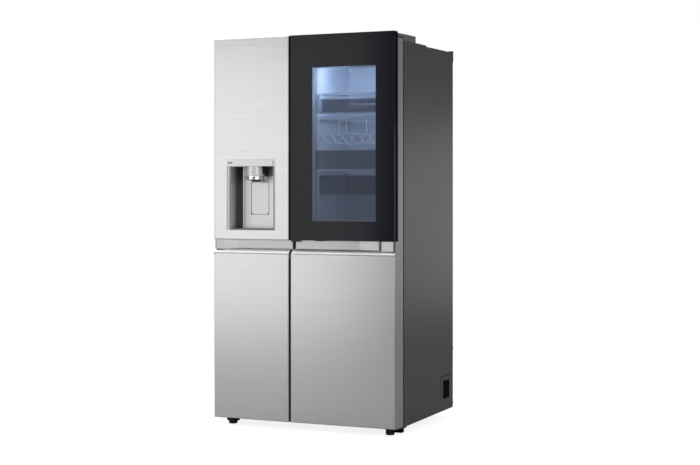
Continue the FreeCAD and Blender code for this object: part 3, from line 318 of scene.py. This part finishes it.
def frame_plate(bm, outer, inner, y0, y1):
    """Flat rectangular ring: outer and inner are (x0, x1, z0, z1)."""
    loops = []
    for x0, x1, z0, z1 in (outer, inner):
        for y in (y0, y1):
            loops.append([bm.verts.new((x, y, z))
                          for x, z in ((x0, z0), (x1, z0), (x1, z1), (x0, z1))])
    outer_front, outer_back, inner_front, inner_back = loops
    for i in range(4):
        j = (i + 1) % 4
        bm.faces.new((outer_front[i], outer_front[j], inner_front[j], inner_front[i]))
        bm.faces.new((outer_back[i], outer_back[j], inner_back[j], inner_back[i]))
        bm.faces.new((outer_front[i], outer_front[j], outer_back[j], outer_back[i]))
        bm.faces.new((inner_front[i], inner_front[j], inner_back[j], inner_back[i]))


def add_between(bm, loops):
    """Add a closed solid between two loops with the same number of points."""
    first, second = [[bm.verts.new(point) for point in loop] for loop in loops]
    bm.faces.new(first)
    bm.faces.new(second)
    for n in range(len(first)):
        m = (n + 1) % len(first)
        bm.faces.new((first[n], first[m], second[m], second[n]))


def add_lathe(bm, profile, centre, axis, steps):
    """Turn a (radius, height) profile about the Y or Z axis through centre."""
    rings = []
    for radius, height in profile:
        ring = []
        for n in range(steps):
            a = 2 * math.pi * n / steps
            u, v = radius * math.cos(a), radius * math.sin(a)
            offset = {"z": (u, v, height), "y": (u, height, v)}[axis]
            ring.append(bm.verts.new(Vector(centre) + Vector(offset)))
        rings.append(ring)
    for low, high in zip(rings, rings[1:]):
        for n in range(steps):
            m = (n + 1) % steps
            bm.faces.new((low[n], low[m], high[m], high[n]))
    bm.faces.new(rings[0])
    bm.faces.new(rings[-1])


def add_ball(bm, radius, around=16, down=10):
    """Add a ball and return its vertices; its faces are made in the same order every run."""
    rings = []
    for level in range(1, down):
        tilt = math.pi * level / down
        ring = []
        for n in range(around):
            a = 2 * math.pi * n / around
            ring.append(bm.verts.new((radius * math.sin(tilt) * math.cos(a),
                                      radius * math.sin(tilt) * math.sin(a),
                                      radius * math.cos(tilt))))
        rings.append(ring)
    poles = [bm.verts.new((0.0, 0.0, height)) for height in (radius, -radius)]
    for n in range(around):
        m = (n + 1) % around
        bm.faces.new((poles[0], rings[0][n], rings[0][m]))
        for upper, lower in zip(rings, rings[1:]):
            bm.faces.new((upper[n], lower[n], lower[m], upper[m]))
        bm.faces.new((poles[1], rings[-1][m], rings[-1][n]))
    return poles + [vert for ring in rings for vert in ring]


def rear_facing_screws(name, places):
    """Pan-head screws with a recess in the head, pointing to the rear."""
    bm = bmesh.new()
    head = 3.6 * MM
    profile = [(head, 0.0), (head, 0.45 * head), (0.86 * head, 0.62 * head),
               (0.55 * head, 0.74 * head), (0.5 * head, 0.74 * head), (0.3 * head, 0.35 * head)]
    for place in places:
        add_lathe(bm, profile, place, "y", 20)
    finish_mesh(name, bm, FINISH["zinc"], "cabinet")


# ---------------------------------------------------------------- carried-over nodes

# node: (finish, width in millimetres that its edges are softened by)
REFINED = {
    "side_panel_left": ("case", 0.4), "side_panel_right": ("case", 0.4),
    "top_panel": ("case", 0.5), "front_frame": ("case", 0.3),
    "rear_top_cap": ("matte", 1.5), "machine_room_cover": ("zinc", 0.6),
    "side_vent_grille": ("matte", 0.4), "base_pan": ("steel", 0.5),
    "cabinet_hinges": ("steel", 0.6), "hinge_covers": ("grey", 2.5),
    "rear_panel": ("zinc", 0.3), "power_inlet": ("black", 0.8),
    "freezer_liner": ("liner", 0.8), "fridge_liner": ("liner", 0.8),
    "freezer_duct_panel": ("liner", 0.8), "fridge_duct_panel": ("light", 0.8),
    "freezer_shelves": ("clear", 1.0), "fridge_shelf_glass": ("shelf_glass", 0.6),
    "fridge_shelf_trims": ("light", 1.0), "ice_maker": ("light", 3.0),
    "compressor": ("steel", 0.8), "fan_shroud": ("black", 0.8),
    "condenser_fan": ("black", 0.4), "roller_left": ("black", 1.2),
    "roller_right": ("black", 1.2), "foot_left": ("rubber", 1.5),
    "foot_right": ("rubber", 1.5), "deli_drawer": ("clear", 1.0),
    "crisper_upper": ("clear", 1.0), "crisper_lower": ("clear", 1.0),
    "freezer_drawer_upper": ("clear", 1.0), "freezer_drawer_lower": ("clear", 1.0),
    "freezer_door_upper_skin": ("stainless", 0.4), "freezer_door_lower_skin": ("stainless", 0.4),
    "fridge_door_lower_skin": ("stainless", 0.4), "freezer_door_core": ("door_side", 0.6),
    "fridge_door_core": ("door_side", 0.6), "freezer_door_liner": ("liner", 3.0),
    "fridge_door_liner": ("liner", 2.5), "freezer_door_gasket": ("matte", 2.0),
    "fridge_door_gasket": ("matte", 2.0), "dispenser_control_strip": ("silver", 0.5),
    "dispenser_paddle": ("silver", 0.8), "dispenser_tray": ("grey", 0.6),
    "freezer_door_bins": ("clear", 0.8), "fridge_door_bins": ("clear", 0.8),
    "view_door_hinges": ("steel", 0.5), "view_door_pane": ("pane", 0.4),
    "view_door_gasket": ("seal", 1.0), "latch_button": ("black", 0.8),
}
# node: finish, for nodes that keep their own mesh
KEPT = {
    "cabinet_foam": "foam", "evaporator": "fins", "condenser": "steel", "wine_rack": "chrome",
    "view_door_frame": "matte",
}
for node, (key, width) in REFINED.items():
    refine(node, FINISH[key], width)
for node, key in KEPT.items():
    item = frame["nodes"][node]
    item.data.materials.clear()
    item.data.materials.append(FINISH[key])


# ---------------------------------------------------------------- outer glass door

def glass_door():
    """Dark glass border, clear window and the light lining behind them."""
    low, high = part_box("view_door_glass")
    pane_low, pane_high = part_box("view_door_pane")
    hole = (pane_low.x, pane_high.x, pane_low.z, pane_high.z)
    lip = 1.2 * MM
    opening = (hole[0] + lip, hole[1] - lip, hole[2] + lip, hole[3] - lip)
    bm = bmesh.new()
    frame_plate(bm, (low.x, high.x, low.z, high.z), hole, low.y, high.y)
    soften(bm, 0.9 * MM)
    finish_mesh("glass_border", bm, FINISH["black_glass"], "view_door",
                ("view_door_glass",))
    boxes("glass_window", [((hole[0], low.y, hole[2]), (hole[1], high.y, hole[3]))],
          FINISH["window"], "view_door", 0.4)
    seal_low, seal_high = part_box("view_door_gasket")
    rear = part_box("view_door_frame")[1].y
    bm = bmesh.new()
    inside = 12 * MM
    edge = (seal_low.x + inside, seal_high.x - inside, seal_low.z + inside, seal_high.z - inside)
    frame_plate(bm, edge, opening, rear - 0.2 * MM, rear + 1.4 * MM)
    frame_plate(bm, hole, opening, high.y + 0.3 * MM, rear + 0.5 * MM)
    soften(bm, 0.4 * MM)
    finish_mesh("view_door_lining", bm, FINISH["light"], "view_door")


# ---------------------------------------------------------------- dispenser

def arc(centre, radius, start, end, steps):
    """Points on an arc, angles in degrees."""
    turn = [math.radians(start + (end - start) * n / steps) for n in range(steps + 1)]
    return [(centre[0] + radius * math.cos(a), centre[1] + radius * math.sin(a)) for a in turn]


def prism(name, plan, z0, z1):
    """Closed object from plan points (x, y) between two heights."""
    bm = bmesh.new()
    add_between(bm, [[(x, y, z) for x, y in plan] for z in (z0, z1)])
    bmesh.ops.recalc_face_normals(bm, faces=bm.faces)
    mesh = bpy.data.meshes.new(name)
    bm.to_mesh(mesh)
    bm.free()
    item = bpy.data.objects.new(name, mesh)
    bpy.context.scene.collection.objects.link(item)
    return item


def carve(base, tools):
    """Cut tools from a base object and return the result as a bmesh."""
    for tool in tools:
        step = base.modifiers.new(tool.name, "BOOLEAN")
        step.operation = "DIFFERENCE"
        step.solver = "EXACT"
        step.object = tool
    bpy.context.view_layer.update()
    solid = base.evaluated_get(bpy.context.evaluated_depsgraph_get()).to_mesh()
    bm = bmesh.new()
    bm.from_mesh(solid)
    for item in [base] + tools:
        bpy.data.objects.remove(item)
    bmesh.ops.remove_doubles(bm, verts=bm.verts, dist=WELD / 2)
    return bm


def recess_plan(low, high, back):
    """Side walls of the recess: rolled front lips, a bevelled left corner, a rounded right one."""
    roll = 17.5 * MM
    fillet = 3.5 * MM
    left_in = low.x + 0.5 * MM
    right_in = high.x - 0.5 * MM
    mouth = FRONT - 2 * MM
    plan = [(left_in, mouth)]
    plan += arc((left_in, FRONT + roll), roll, -90, 0, 8)[1:]
    plan += [(low.x + 42 * MM, back - 7.5 * MM), (low.x + 55 * MM, back)]
    plan += arc((high.x - 30.5 * MM - fillet, back - fillet), fillet, 90, 10, 5)
    plan += arc((right_in, FRONT + roll), roll, 180, 270, 8)[:-1]
    plan += [(right_in, mouth)]
    return plan


def rectangle(x0, x1, y0, y1):
    """Plan of a rectangle."""
    return [(x0, y0), (x1, y0), (x1, y1), (x0, y1)]


def dispenser_housing():
    """Housing with its curved recess and the pocket that the paddle swings into."""
    low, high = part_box("dispenser_housing")
    strip_low, strip_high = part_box("dispenser_control_strip")
    leaf_low, leaf_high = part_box("dispenser_paddle")
    back = leaf_low.y
    gap = 2.5 * MM
    axle_tail = 8 * MM
    half = (leaf_high.x - leaf_low.x) / 2 - 10 * MM + gap
    middle = (leaf_low.x + leaf_high.x) / 2
    plan = recess_plan(low, high, back)
    base = prism("housing_block", rectangle(low.x, high.x, low.y + 0.3 * MM, high.y), low.z, high.z)
    tools = [
        prism("recess_tool", plan, low.z + 4 * MM, high.z - 4 * MM),
        prism("pocket_tool",
              rectangle(middle - half, middle + half, back - 1 * MM, high.y - 4 * MM),
              leaf_low.z - gap, leaf_high.z + gap),
        prism("seat_tool",
              rectangle(low.x - 1 * MM, high.x + 1 * MM, low.y - 2 * MM, strip_high.y),
              strip_low.z, strip_high.z + 1 * MM),
        prism("axle_tool",
              rectangle(middle - half - axle_tail, middle + half + axle_tail,
                        back + 2.6 * MM, back + 8.4 * MM),
              leaf_high.z - 6.9 * MM, leaf_high.z - 1.1 * MM),
    ]
    bm = carve(base, tools)
    soften(bm, 0.6 * MM, 40)
    finish_mesh("dispenser_housing_piece", bm, FINISH["silver"], "freezer_door",
                ("dispenser_housing",))
    # Thin sheet over the recess's left wall that carries the painted shade darkening with depth.
    left_wall = plan[3:10]
    inner = [(x + 0.5 * MM, y - 0.25 * MM) for x, y in left_wall]
    side = prism("side_strip", left_wall + inner[::-1], low.z + 4.5 * MM, strip_low.z - 0.5 * MM)
    bm = bmesh.new()
    bm.from_mesh(side.data)
    bpy.data.objects.remove(side)
    finish_mesh("dispenser_side_painted_shade", bm, FINISH["recess_painted_shade"], "freezer_door")


def turned(name, profile, centre, steps, finish, stands_for=()):
    """Piece on the freezer door, turned about a vertical axis."""
    bm = bmesh.new()
    add_lathe(bm, profile, centre, "z", steps)
    finish_mesh(name, bm, FINISH[finish], "freezer_door", stands_for)


def spout_lamps(axis, reach, height):
    """Flattened lamps on the spout's face; reach is their distance from its axis."""
    flatness = 0.2
    bm = bmesh.new()
    for degrees, size in ((-88, 2.6), (-118, 1.6)):
        angle = math.radians(degrees)
        across = angle + math.pi / 2
        spot = Vector((axis[0] + reach * math.cos(angle), axis[1] + reach * math.sin(angle),
                       height))
        for vert in add_ball(bm, size * MM):
            outward = vert.co.y * flatness
            vert.co.y = vert.co.x * math.sin(across) + outward * math.sin(angle)
            vert.co.x = vert.co.x * math.cos(across) + outward * math.cos(angle)
            vert.co += spot
    finish_mesh("spout_lamps", bm, FINISH["black"], "freezer_door")


def spout():
    """Turned spout with its lamps, a dark turned piece behind it that is painted shadow on the
    recess wall, its ring and its nozzle.
    """
    low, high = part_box("dispenser_spout")
    strip_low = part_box("dispenser_control_strip")[0].z
    radius = (high.x - low.x) / 2 - 1.5 * MM
    axis = ((low.x + high.x) / 2, low.y + (high.x - low.x) / 2, 0.0)
    ring_low = low.z + 8 * MM
    ring_top = ring_low + 17 * MM
    turned("spout_body",
           [(radius * 0.9, high.z), (radius, high.z - 1 * MM), (radius, ring_top + 4 * MM),
            (radius - 0.8 * MM, ring_top + 2.5 * MM), (radius - 2.5 * MM, ring_top + 2 * MM),
            (radius - 2.5 * MM, ring_top - 2 * MM)],
           axis, 96, "spout", ("dispenser_spout",))
    spout_lamps(axis, radius + 0.1 * MM, ring_top + 19 * MM)
    # Painted shadow: a black turned piece standing for the shade right of and behind the spout.
    turned("spout_painted_shadow",
           [(radius * 0.9, strip_low + 1 * MM), (radius + 2 * MM, strip_low),
            (radius + 1 * MM, ring_top + 12 * MM), (radius - 4 * MM, ring_top),
            (radius - 12 * MM, ring_top - 3 * MM)],
           (axis[0] + 5 * MM, axis[1] + 11 * MM, 0.0), 64, "rubber")
    rim = radius + 1.2 * MM
    turned("spout_ring",
           [(rim - 3 * MM, ring_top + 0.6 * MM), (rim - 0.8 * MM, ring_top),
            (rim, ring_top - 1.2 * MM), (rim, ring_low + 2 * MM),
            (rim - 1.4 * MM, ring_low + 0.4 * MM), (rim - 4 * MM, ring_low),
            (rim - 5 * MM, ring_low + 2 * MM)],
           axis, 96, "bright")
    turned("spout_nozzle",
           [(radius - 6 * MM, ring_low + 2.5 * MM), (radius - 7 * MM, ring_low - 1.0 * MM),
            (22 * MM, ring_low - 3 * MM), (20 * MM, low.z + 1 * MM), (18 * MM, low.z),
            (8 * MM, low.z), (7 * MM, low.z + 3 * MM)],
           axis, 64, "black")


def dispenser_marks():
    """Line on the paddle and small generic marks on the control strip."""
    low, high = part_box("dispenser_paddle")
    middle = (low.x + high.x) / 2
    face = low.y + 0.5 * MM
    boxes("paddle_mark", [((middle - 11 * MM, face - 0.4 * MM, high.z - 8 * MM),
                           (middle + 11 * MM, face + 0.6 * MM, high.z - 4.5 * MM))],
          FINISH["print"], "dispenser_paddle", 0.15)
    low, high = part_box("dispenser_control_strip")
    level = low.z + (high.z - low.z) * 0.52
    near, far = FRONT - 0.15 * MM, FRONT + 0.3 * MM
    marks = [((low.x + place * MM, near, level - rise * MM),
              (low.x + (place + 6.5) * MM, far, level + rise * MM))
             for place, rise in ((9, 4.0), (17, 3.2), (25, 3.6))]
    marks += [((high.x - 15.5 * MM, near, level + step * MM),
               (high.x - 8.5 * MM, far, level + (step + 3.6) * MM))
              for step in (-9, -2, 5)]
    boxes("control_marks", marks, FINISH["print"], "freezer_door", 0.08)


# ---------------------------------------------------------------- small trims

def plinth_details():
    """Brackets over the levelling feet, rear screws and the shadow line round the side vent."""
    corners = []
    for node in ("foot_left", "foot_right"):
        low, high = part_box(node)
        middle = (low.x + high.x) / 2
        out = math.copysign(1.0, middle)
        inner, outer = sorted((middle - out * 24 * MM, middle + out * 44 * MM))
        corners.append(((inner, high.y - 12 * MM, low.z + 26.5 * MM),
                        (outer, high.y + 46 * MM, low.z + 33.5 * MM)))
        inner, outer = sorted((middle - out * 8 * MM, middle + out * 46 * MM))
        corners.append(((inner, high.y + 1.5 * MM, low.z + 7 * MM),
                        (outer, high.y + 30 * MM, low.z + 30 * MM)))
    boxes("foot_brackets", corners, FINISH["matte"], "cabinet", 2.0, 3)
    low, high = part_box("machine_room_cover")
    sunk = 0.2 * MM
    edge = 11 * MM
    places = [(x, high.y - sunk, z) for z in (low.z + edge, high.z - edge)
              for x in (low.x + edge, (low.x + high.x) / 2, high.x - edge)]
    low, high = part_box("rear_top_cap")
    edge = 40 * MM
    places += [(x, high.y - sunk, (low.z + high.z) / 2)
               for x in (low.x + edge, (low.x + high.x) / 2, high.x - edge)]
    rear_facing_screws("rear_screws", places)
    low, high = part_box("side_vent_grille")
    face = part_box("side_panel_right")[1].x
    under, over = face - 0.6 * MM, face + 0.15 * MM
    front, top = low.y - 28 * MM, high.z + 20 * MM
    lines = [((under, front - 2 * MM, low.z - 14 * MM), (over, front + 2 * MM, top)),
             ((under, front - 2 * MM, top - 2 * MM), (over, high.y + 12 * MM, top + 1 * MM))]
    boxes("vent_shadow_lines", lines, FINISH["matte"], "cabinet", 0.1)


def edge_shade_strips():
    """Black plates on the doors' facing edges and down the front corners of the cabinet: painted
    shade for the dark gaps between the doors and beside the cabinet.
    """
    low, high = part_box("freezer_door_lower_skin")
    upper_low, upper_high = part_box("freezer_door_upper_skin")
    near, far = FRONT + 7 * MM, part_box("freezer_door_core")[1].y - 2 * MM
    sunk, proud = 0.3 * MM, 0.5 * MM
    inset = 3 * MM
    under_grip = 22 * MM
    # Painted shade: matte black plates on the freezer door's free edge, where the gap between the
    # doors is in deep shade.
    trims = [((high.x - sunk, near, low.z + inset), (high.x + proud, far, high.z - under_grip)),
             ((high.x - sunk, near, upper_low.z + inset),
              (high.x + proud, far, upper_high.z - inset))]
    boxes("freezer_door_edge_painted_shade", trims, FINISH["matte"], "freezer_door", 0.2)
    low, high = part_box("fridge_door_lower_skin")
    # Painted shade: matte black plate on the fridge door's free edge, in the same shaded gap.
    trims = [((low.x - proud, near, low.z + inset), (low.x + sunk, far, high.z - under_grip))]
    boxes("fridge_door_edge_painted_shade", trims, FINISH["matte"], "fridge_door", 0.2)
    low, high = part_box("front_frame")
    wide = 14 * MM
    # Painted shade: matte black strips down the front frame's side edges, where the gap beside the
    # doors is in shade.
    strips = [((x0, low.y - 0.6 * MM, low.z + 2 * MM), (x1, low.y + sunk, high.z - 2 * MM))
              for x0, x1 in ((low.x, low.x + wide), (high.x - wide, high.x))]
    boxes("frame_edge_painted_shade", strips, FINISH["matte"], "cabinet", 0.2)


def gap_shade_and_stop():
    """Dark block beside the right grip, painted shade for the slot between the doors, and the stop
    under the glass door's corner.
    """
    low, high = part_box("fridge_door_grip")
    # Painted shade: black block at the grip's end that darkens the slot between the doors.
    boxes("grip_gap_painted_shade", [((low.x - 1.5 * MM, high.y - 8 * MM, low.z + 36 * MM),
                               (low.x + 5.5 * MM, high.y - 1 * MM, high.z))],
          FINISH["rubber"], "fridge_door", 0.6)
    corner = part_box("view_door_glass")[0]
    boxes("view_door_stop", [((corner.x + 1 * MM, corner.y + 5 * MM, corner.z - 8.5 * MM),
                              (corner.x + 24 * MM, corner.y + 28 * MM, corner.z + 2 * MM))],
          FINISH["black_gloss"], "view_door", 1.5, 3)


def lights_and_rims():
    """Lit lenses inside both compartments and the rims of the clear door bins."""
    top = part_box("freezer_duct_panel")[1].z + 18 * MM
    for node in ("fridge_liner", "freezer_liner"):
        low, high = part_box(node)
        middle = (low.x + high.x) / 2
        half = (high.x - low.x) * 0.30
        boxes(node.replace("liner", "lamp"),
              [((middle - half, low.y + 62 * MM, top - 5 * MM),
                (middle + half, low.y + 92 * MM, top + 1 * MM))],
              FINISH["lamp"], "cabinet", 1.8, 3)
    low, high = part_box("fridge_door_bins")
    rims = []
    for height in (0.945, 1.269, 1.525):
        for near, far in ((-1.2, 3.2), (98, 102.4)):
            rims.append(((low.x + 1 * MM, low.y + near * MM, height - 3 * MM),
                         (high.x - 1 * MM, low.y + far * MM, height + 1 * MM)))
    boxes("door_bin_rims", rims, FINISH["clear_rim"], "fridge_door", 1.2, 3)


# ---------------------------------------------------------------- grips

def run_along_x(profile, x0, x1):
    """Closed mesh between two X; the profile is (depth in millimetres, height in metres)."""
    bm = bmesh.new()
    add_between(bm, [[(x, FRONT + depth * MM, z) for depth, z in profile] for x in (x0, x1)])
    return bm


def grip(node, body, sign):
    """Channel with its bevelled lip, scooped out towards the closed end block."""
    low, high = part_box(node)
    inner = low.x + 5 * MM if sign > 0 else high.x + 1 * MM
    outer = high.x if sign > 0 else low.x
    lip_foot, bevel_foot, lip_top = low.z + 14 * MM, low.z + 17 * MM, low.z + 34 * MM
    wall = high.y - 1.7 * MM
    bm = run_along_x([(6, lip_foot), (0, lip_foot), (0, bevel_foot), (17, lip_top),
                      (18.5, lip_top), (20, lip_top - 1.5 * MM), (20, lip_foot)], inner, outer)
    soften(bm, 0.5 * MM)
    finish_mesh(node + "_lip", bm, FINISH["stainless"], body)
    bm = run_along_x([(20, lip_foot + 1 * MM), (20, low.z + 4 * MM), (40, low.z + 4 * MM),
                      (40, high.z), (42, high.z), (42, low.z), (6, low.z),
                      (6, lip_foot + 1 * MM)], inner, outer)
    soften(bm, 0.5 * MM)
    outside = FRONT + 4 * MM
    if sign > 0:
        start, end = 0.250, 0.388
        inside = FRONT + 12 * MM
        reach, rise = end - 10 * MM - start, wall - inside - 8 * MM
        radius = (reach * reach + rise * rise) / (2 * rise)
        sweep = math.degrees(math.asin(reach / radius))
        curve = arc((start, wall - radius), radius, 90, 90 - sweep, 14) + [(end, inside)]
    else:
        start, end = 0.352, 0.405
        inside = FRONT + 7 * MM
        curve = [(start, wall), (end, inside)]
    far = abs(outer)
    chamfer = 9 * MM
    rear = high.y - 1 * MM
    plan = curve + [(far - chamfer, outside), (far, outside + chamfer), (far, rear), (start, rear)]
    add_between(bm, [[(sign * x, y, z) for x, y in plan] for z in (lip_top - 2 * MM, high.z)])
    finish_mesh(node + "_piece", bm, FINISH["grip_metal"], body, (node,), 24)
    cap = [(1, low.z + 1 * MM), (1, bevel_foot), (17.5, lip_top - 0.5 * MM),
           (17.5, high.z - 0.3 * MM), (41.5, high.z - 0.3 * MM), (41.5, low.z + 1 * MM)]
    bm = run_along_x(cap, sign * (far - 1 * MM), sign * (far + 0.5 * MM))
    soften(bm, 0.2 * MM)
    finish_mesh(node + "_end", bm, FINISH["door_side"], body)


plinth_details()
edge_shade_strips()
glass_door()
grip("freezer_door_grip", "freezer_door", -1)
grip("fridge_door_grip", "fridge_door", 1)
gap_shade_and_stop()
dispenser_housing()
spout()
dispenser_marks()
lights_and_rims()


# ---------------------------------------------------------------- stage

def softbox(name, centre, aim, size, radiance, color=(1.0, 1.0, 1.0)):
    """Area light with a given surface radiance, turned towards a point."""
    area = bpy.data.lights.new(name, "AREA")
    area.shape = "RECTANGLE"
    area.size, area.size_y = size
    area.energy = radiance * math.pi * size[0] * size[1]
    area.color = color
    item = bpy.data.objects.new(name, area)
    item.location = centre
    item.rotation_euler = (Vector(aim) - Vector(centre)).to_track_quat("-Z", "Y").to_euler()
    item.visible_camera = False
    bpy.context.scene.collection.objects.link(item)
    return item


def pale_floor():
    """Round floor that reads as white and still takes a soft contact shadow."""
    bm = bmesh.new()
    bmesh.ops.create_circle(bm, cap_ends=True, radius=2.4, segments=96)
    mesh = bpy.data.meshes.new("floor")
    bm.to_mesh(mesh)
    bm.free()
    floor = bpy.data.objects.new("floor", mesh)
    bpy.context.scene.collection.objects.link(floor)
    mat = moulded("pale_floor", (0.50, 0.50, 0.50), 0.8, 60.0, 0.0001)
    nodes, links = mat.node_tree.nodes, mat.node_tree.links
    path = nodes.new("ShaderNodeLightPath")
    bsdf = nodes["Principled BSDF"]
    bsdf.inputs["Emission Color"].default_value = (1.0, 1.0, 1.0, 1.0)
    links.new(spread(mat, path.outputs["Is Camera Ray"], 0.0, 0.86, 0.0, 1.0),
              bsdf.inputs["Emission Strength"])
    mesh.materials.append(mat)


def studio_world():
    """Even surround: white to the camera, dim in reflections and darker below."""
    world = bpy.data.worlds.new("soft_studio")
    bpy.context.scene.world = world
    world.use_nodes = True
    nodes, links = world.node_tree.nodes, world.node_tree.links
    place = nodes.new("ShaderNodeTexCoord")
    split = nodes.new("ShaderNodeSeparateXYZ")
    links.new(place.outputs["Generated"], split.inputs["Vector"])
    ground = nodes.new("ShaderNodeMapRange")
    ground.interpolation_type = "SMOOTHSTEP"
    for key, number in (("From Min", -0.25), ("From Max", 0.35), ("To Min", 0.07), ("To Max", 0.32)):
        ground.inputs[key].default_value = number
    links.new(split.outputs["Z"], ground.inputs["Value"])
    path = nodes.new("ShaderNodeLightPath")
    seen = nodes.new("ShaderNodeMix")
    seen.inputs["B"].default_value = 1.0
    links.new(path.outputs["Is Camera Ray"], seen.inputs["Factor"])
    links.new(ground.outputs["Result"], seen.inputs["A"])
    links.new(seen.outputs["Result"], nodes["Background"].inputs["Strength"])
    nodes["Background"].inputs["Color"].default_value = (1.0, 1.0, 1.0, 1.0)


def stage():
    """Floor, studio light, the appliance's own lights and the camera."""
    pale_floor()
    studio_world()
    softbox("key_left", (-1.47, -2.21, 1.14), (-0.42, -0.33, 1.14), (1.84, 1.96), 0.92)
    softbox("fill_right", (1.75, -2.80, 1.20), (0.0, -0.3, 1.0), (2.3, 1.9), 1.1)
    softbox("rear_right", (1.40, 2.05, 0.92), (0.46, 0.0, 0.95), (1.5, 1.1), 1.0)
    softbox("overhead", (-1.1, -0.4, 3.2), (-0.9, -0.4, 1.0), (2.2, 2.2), 1.9)
    blue = (0.54, 0.70, 1.0)
    low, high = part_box("fridge_liner")
    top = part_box("freezer_duct_panel")[1].z
    softbox("ceiling_light", (low.x + 0.16, low.y + 0.09, top + 0.004),
            (low.x + 0.10, low.y + 0.30, 1.2), (0.22, 0.03), 66.0, blue)
    softbox("door_light", (low.x + 0.26, FRONT + 0.075, 1.64), (low.x + 0.05, FRONT + 0.075, 1.35),
            (0.10, 0.04), 42.0, blue)
    softbox("cavity_light", (high.x - 0.03, low.y + 0.10, 1.15), (low.x, low.y + 0.40, 1.15),
            (0.05, 0.9), 3.0, blue)

    azimuth = math.radians(25.055)
    away = 6.7217
    camera_data = bpy.data.cameras.new("camera")
    camera_data.sensor_width = 36.0
    camera_data.lens = 77.69
    camera_data.shift_y = -0.0605
    camera_data.dof.use_dof = False
    camera = bpy.data.objects.new("camera", camera_data)
    camera.location = (0.240 + away * math.sin(azimuth), FRONT - away * math.cos(azimuth), 1.0888)
    camera.rotation_euler = (math.radians(90), 0.0, azimuth)
    bpy.context.scene.collection.objects.link(camera)
    bpy.context.scene.camera = camera
    bpy.context.scene.view_settings.view_transform = "Standard"
    bpy.context.scene.cycles.use_denoising = True


stage()
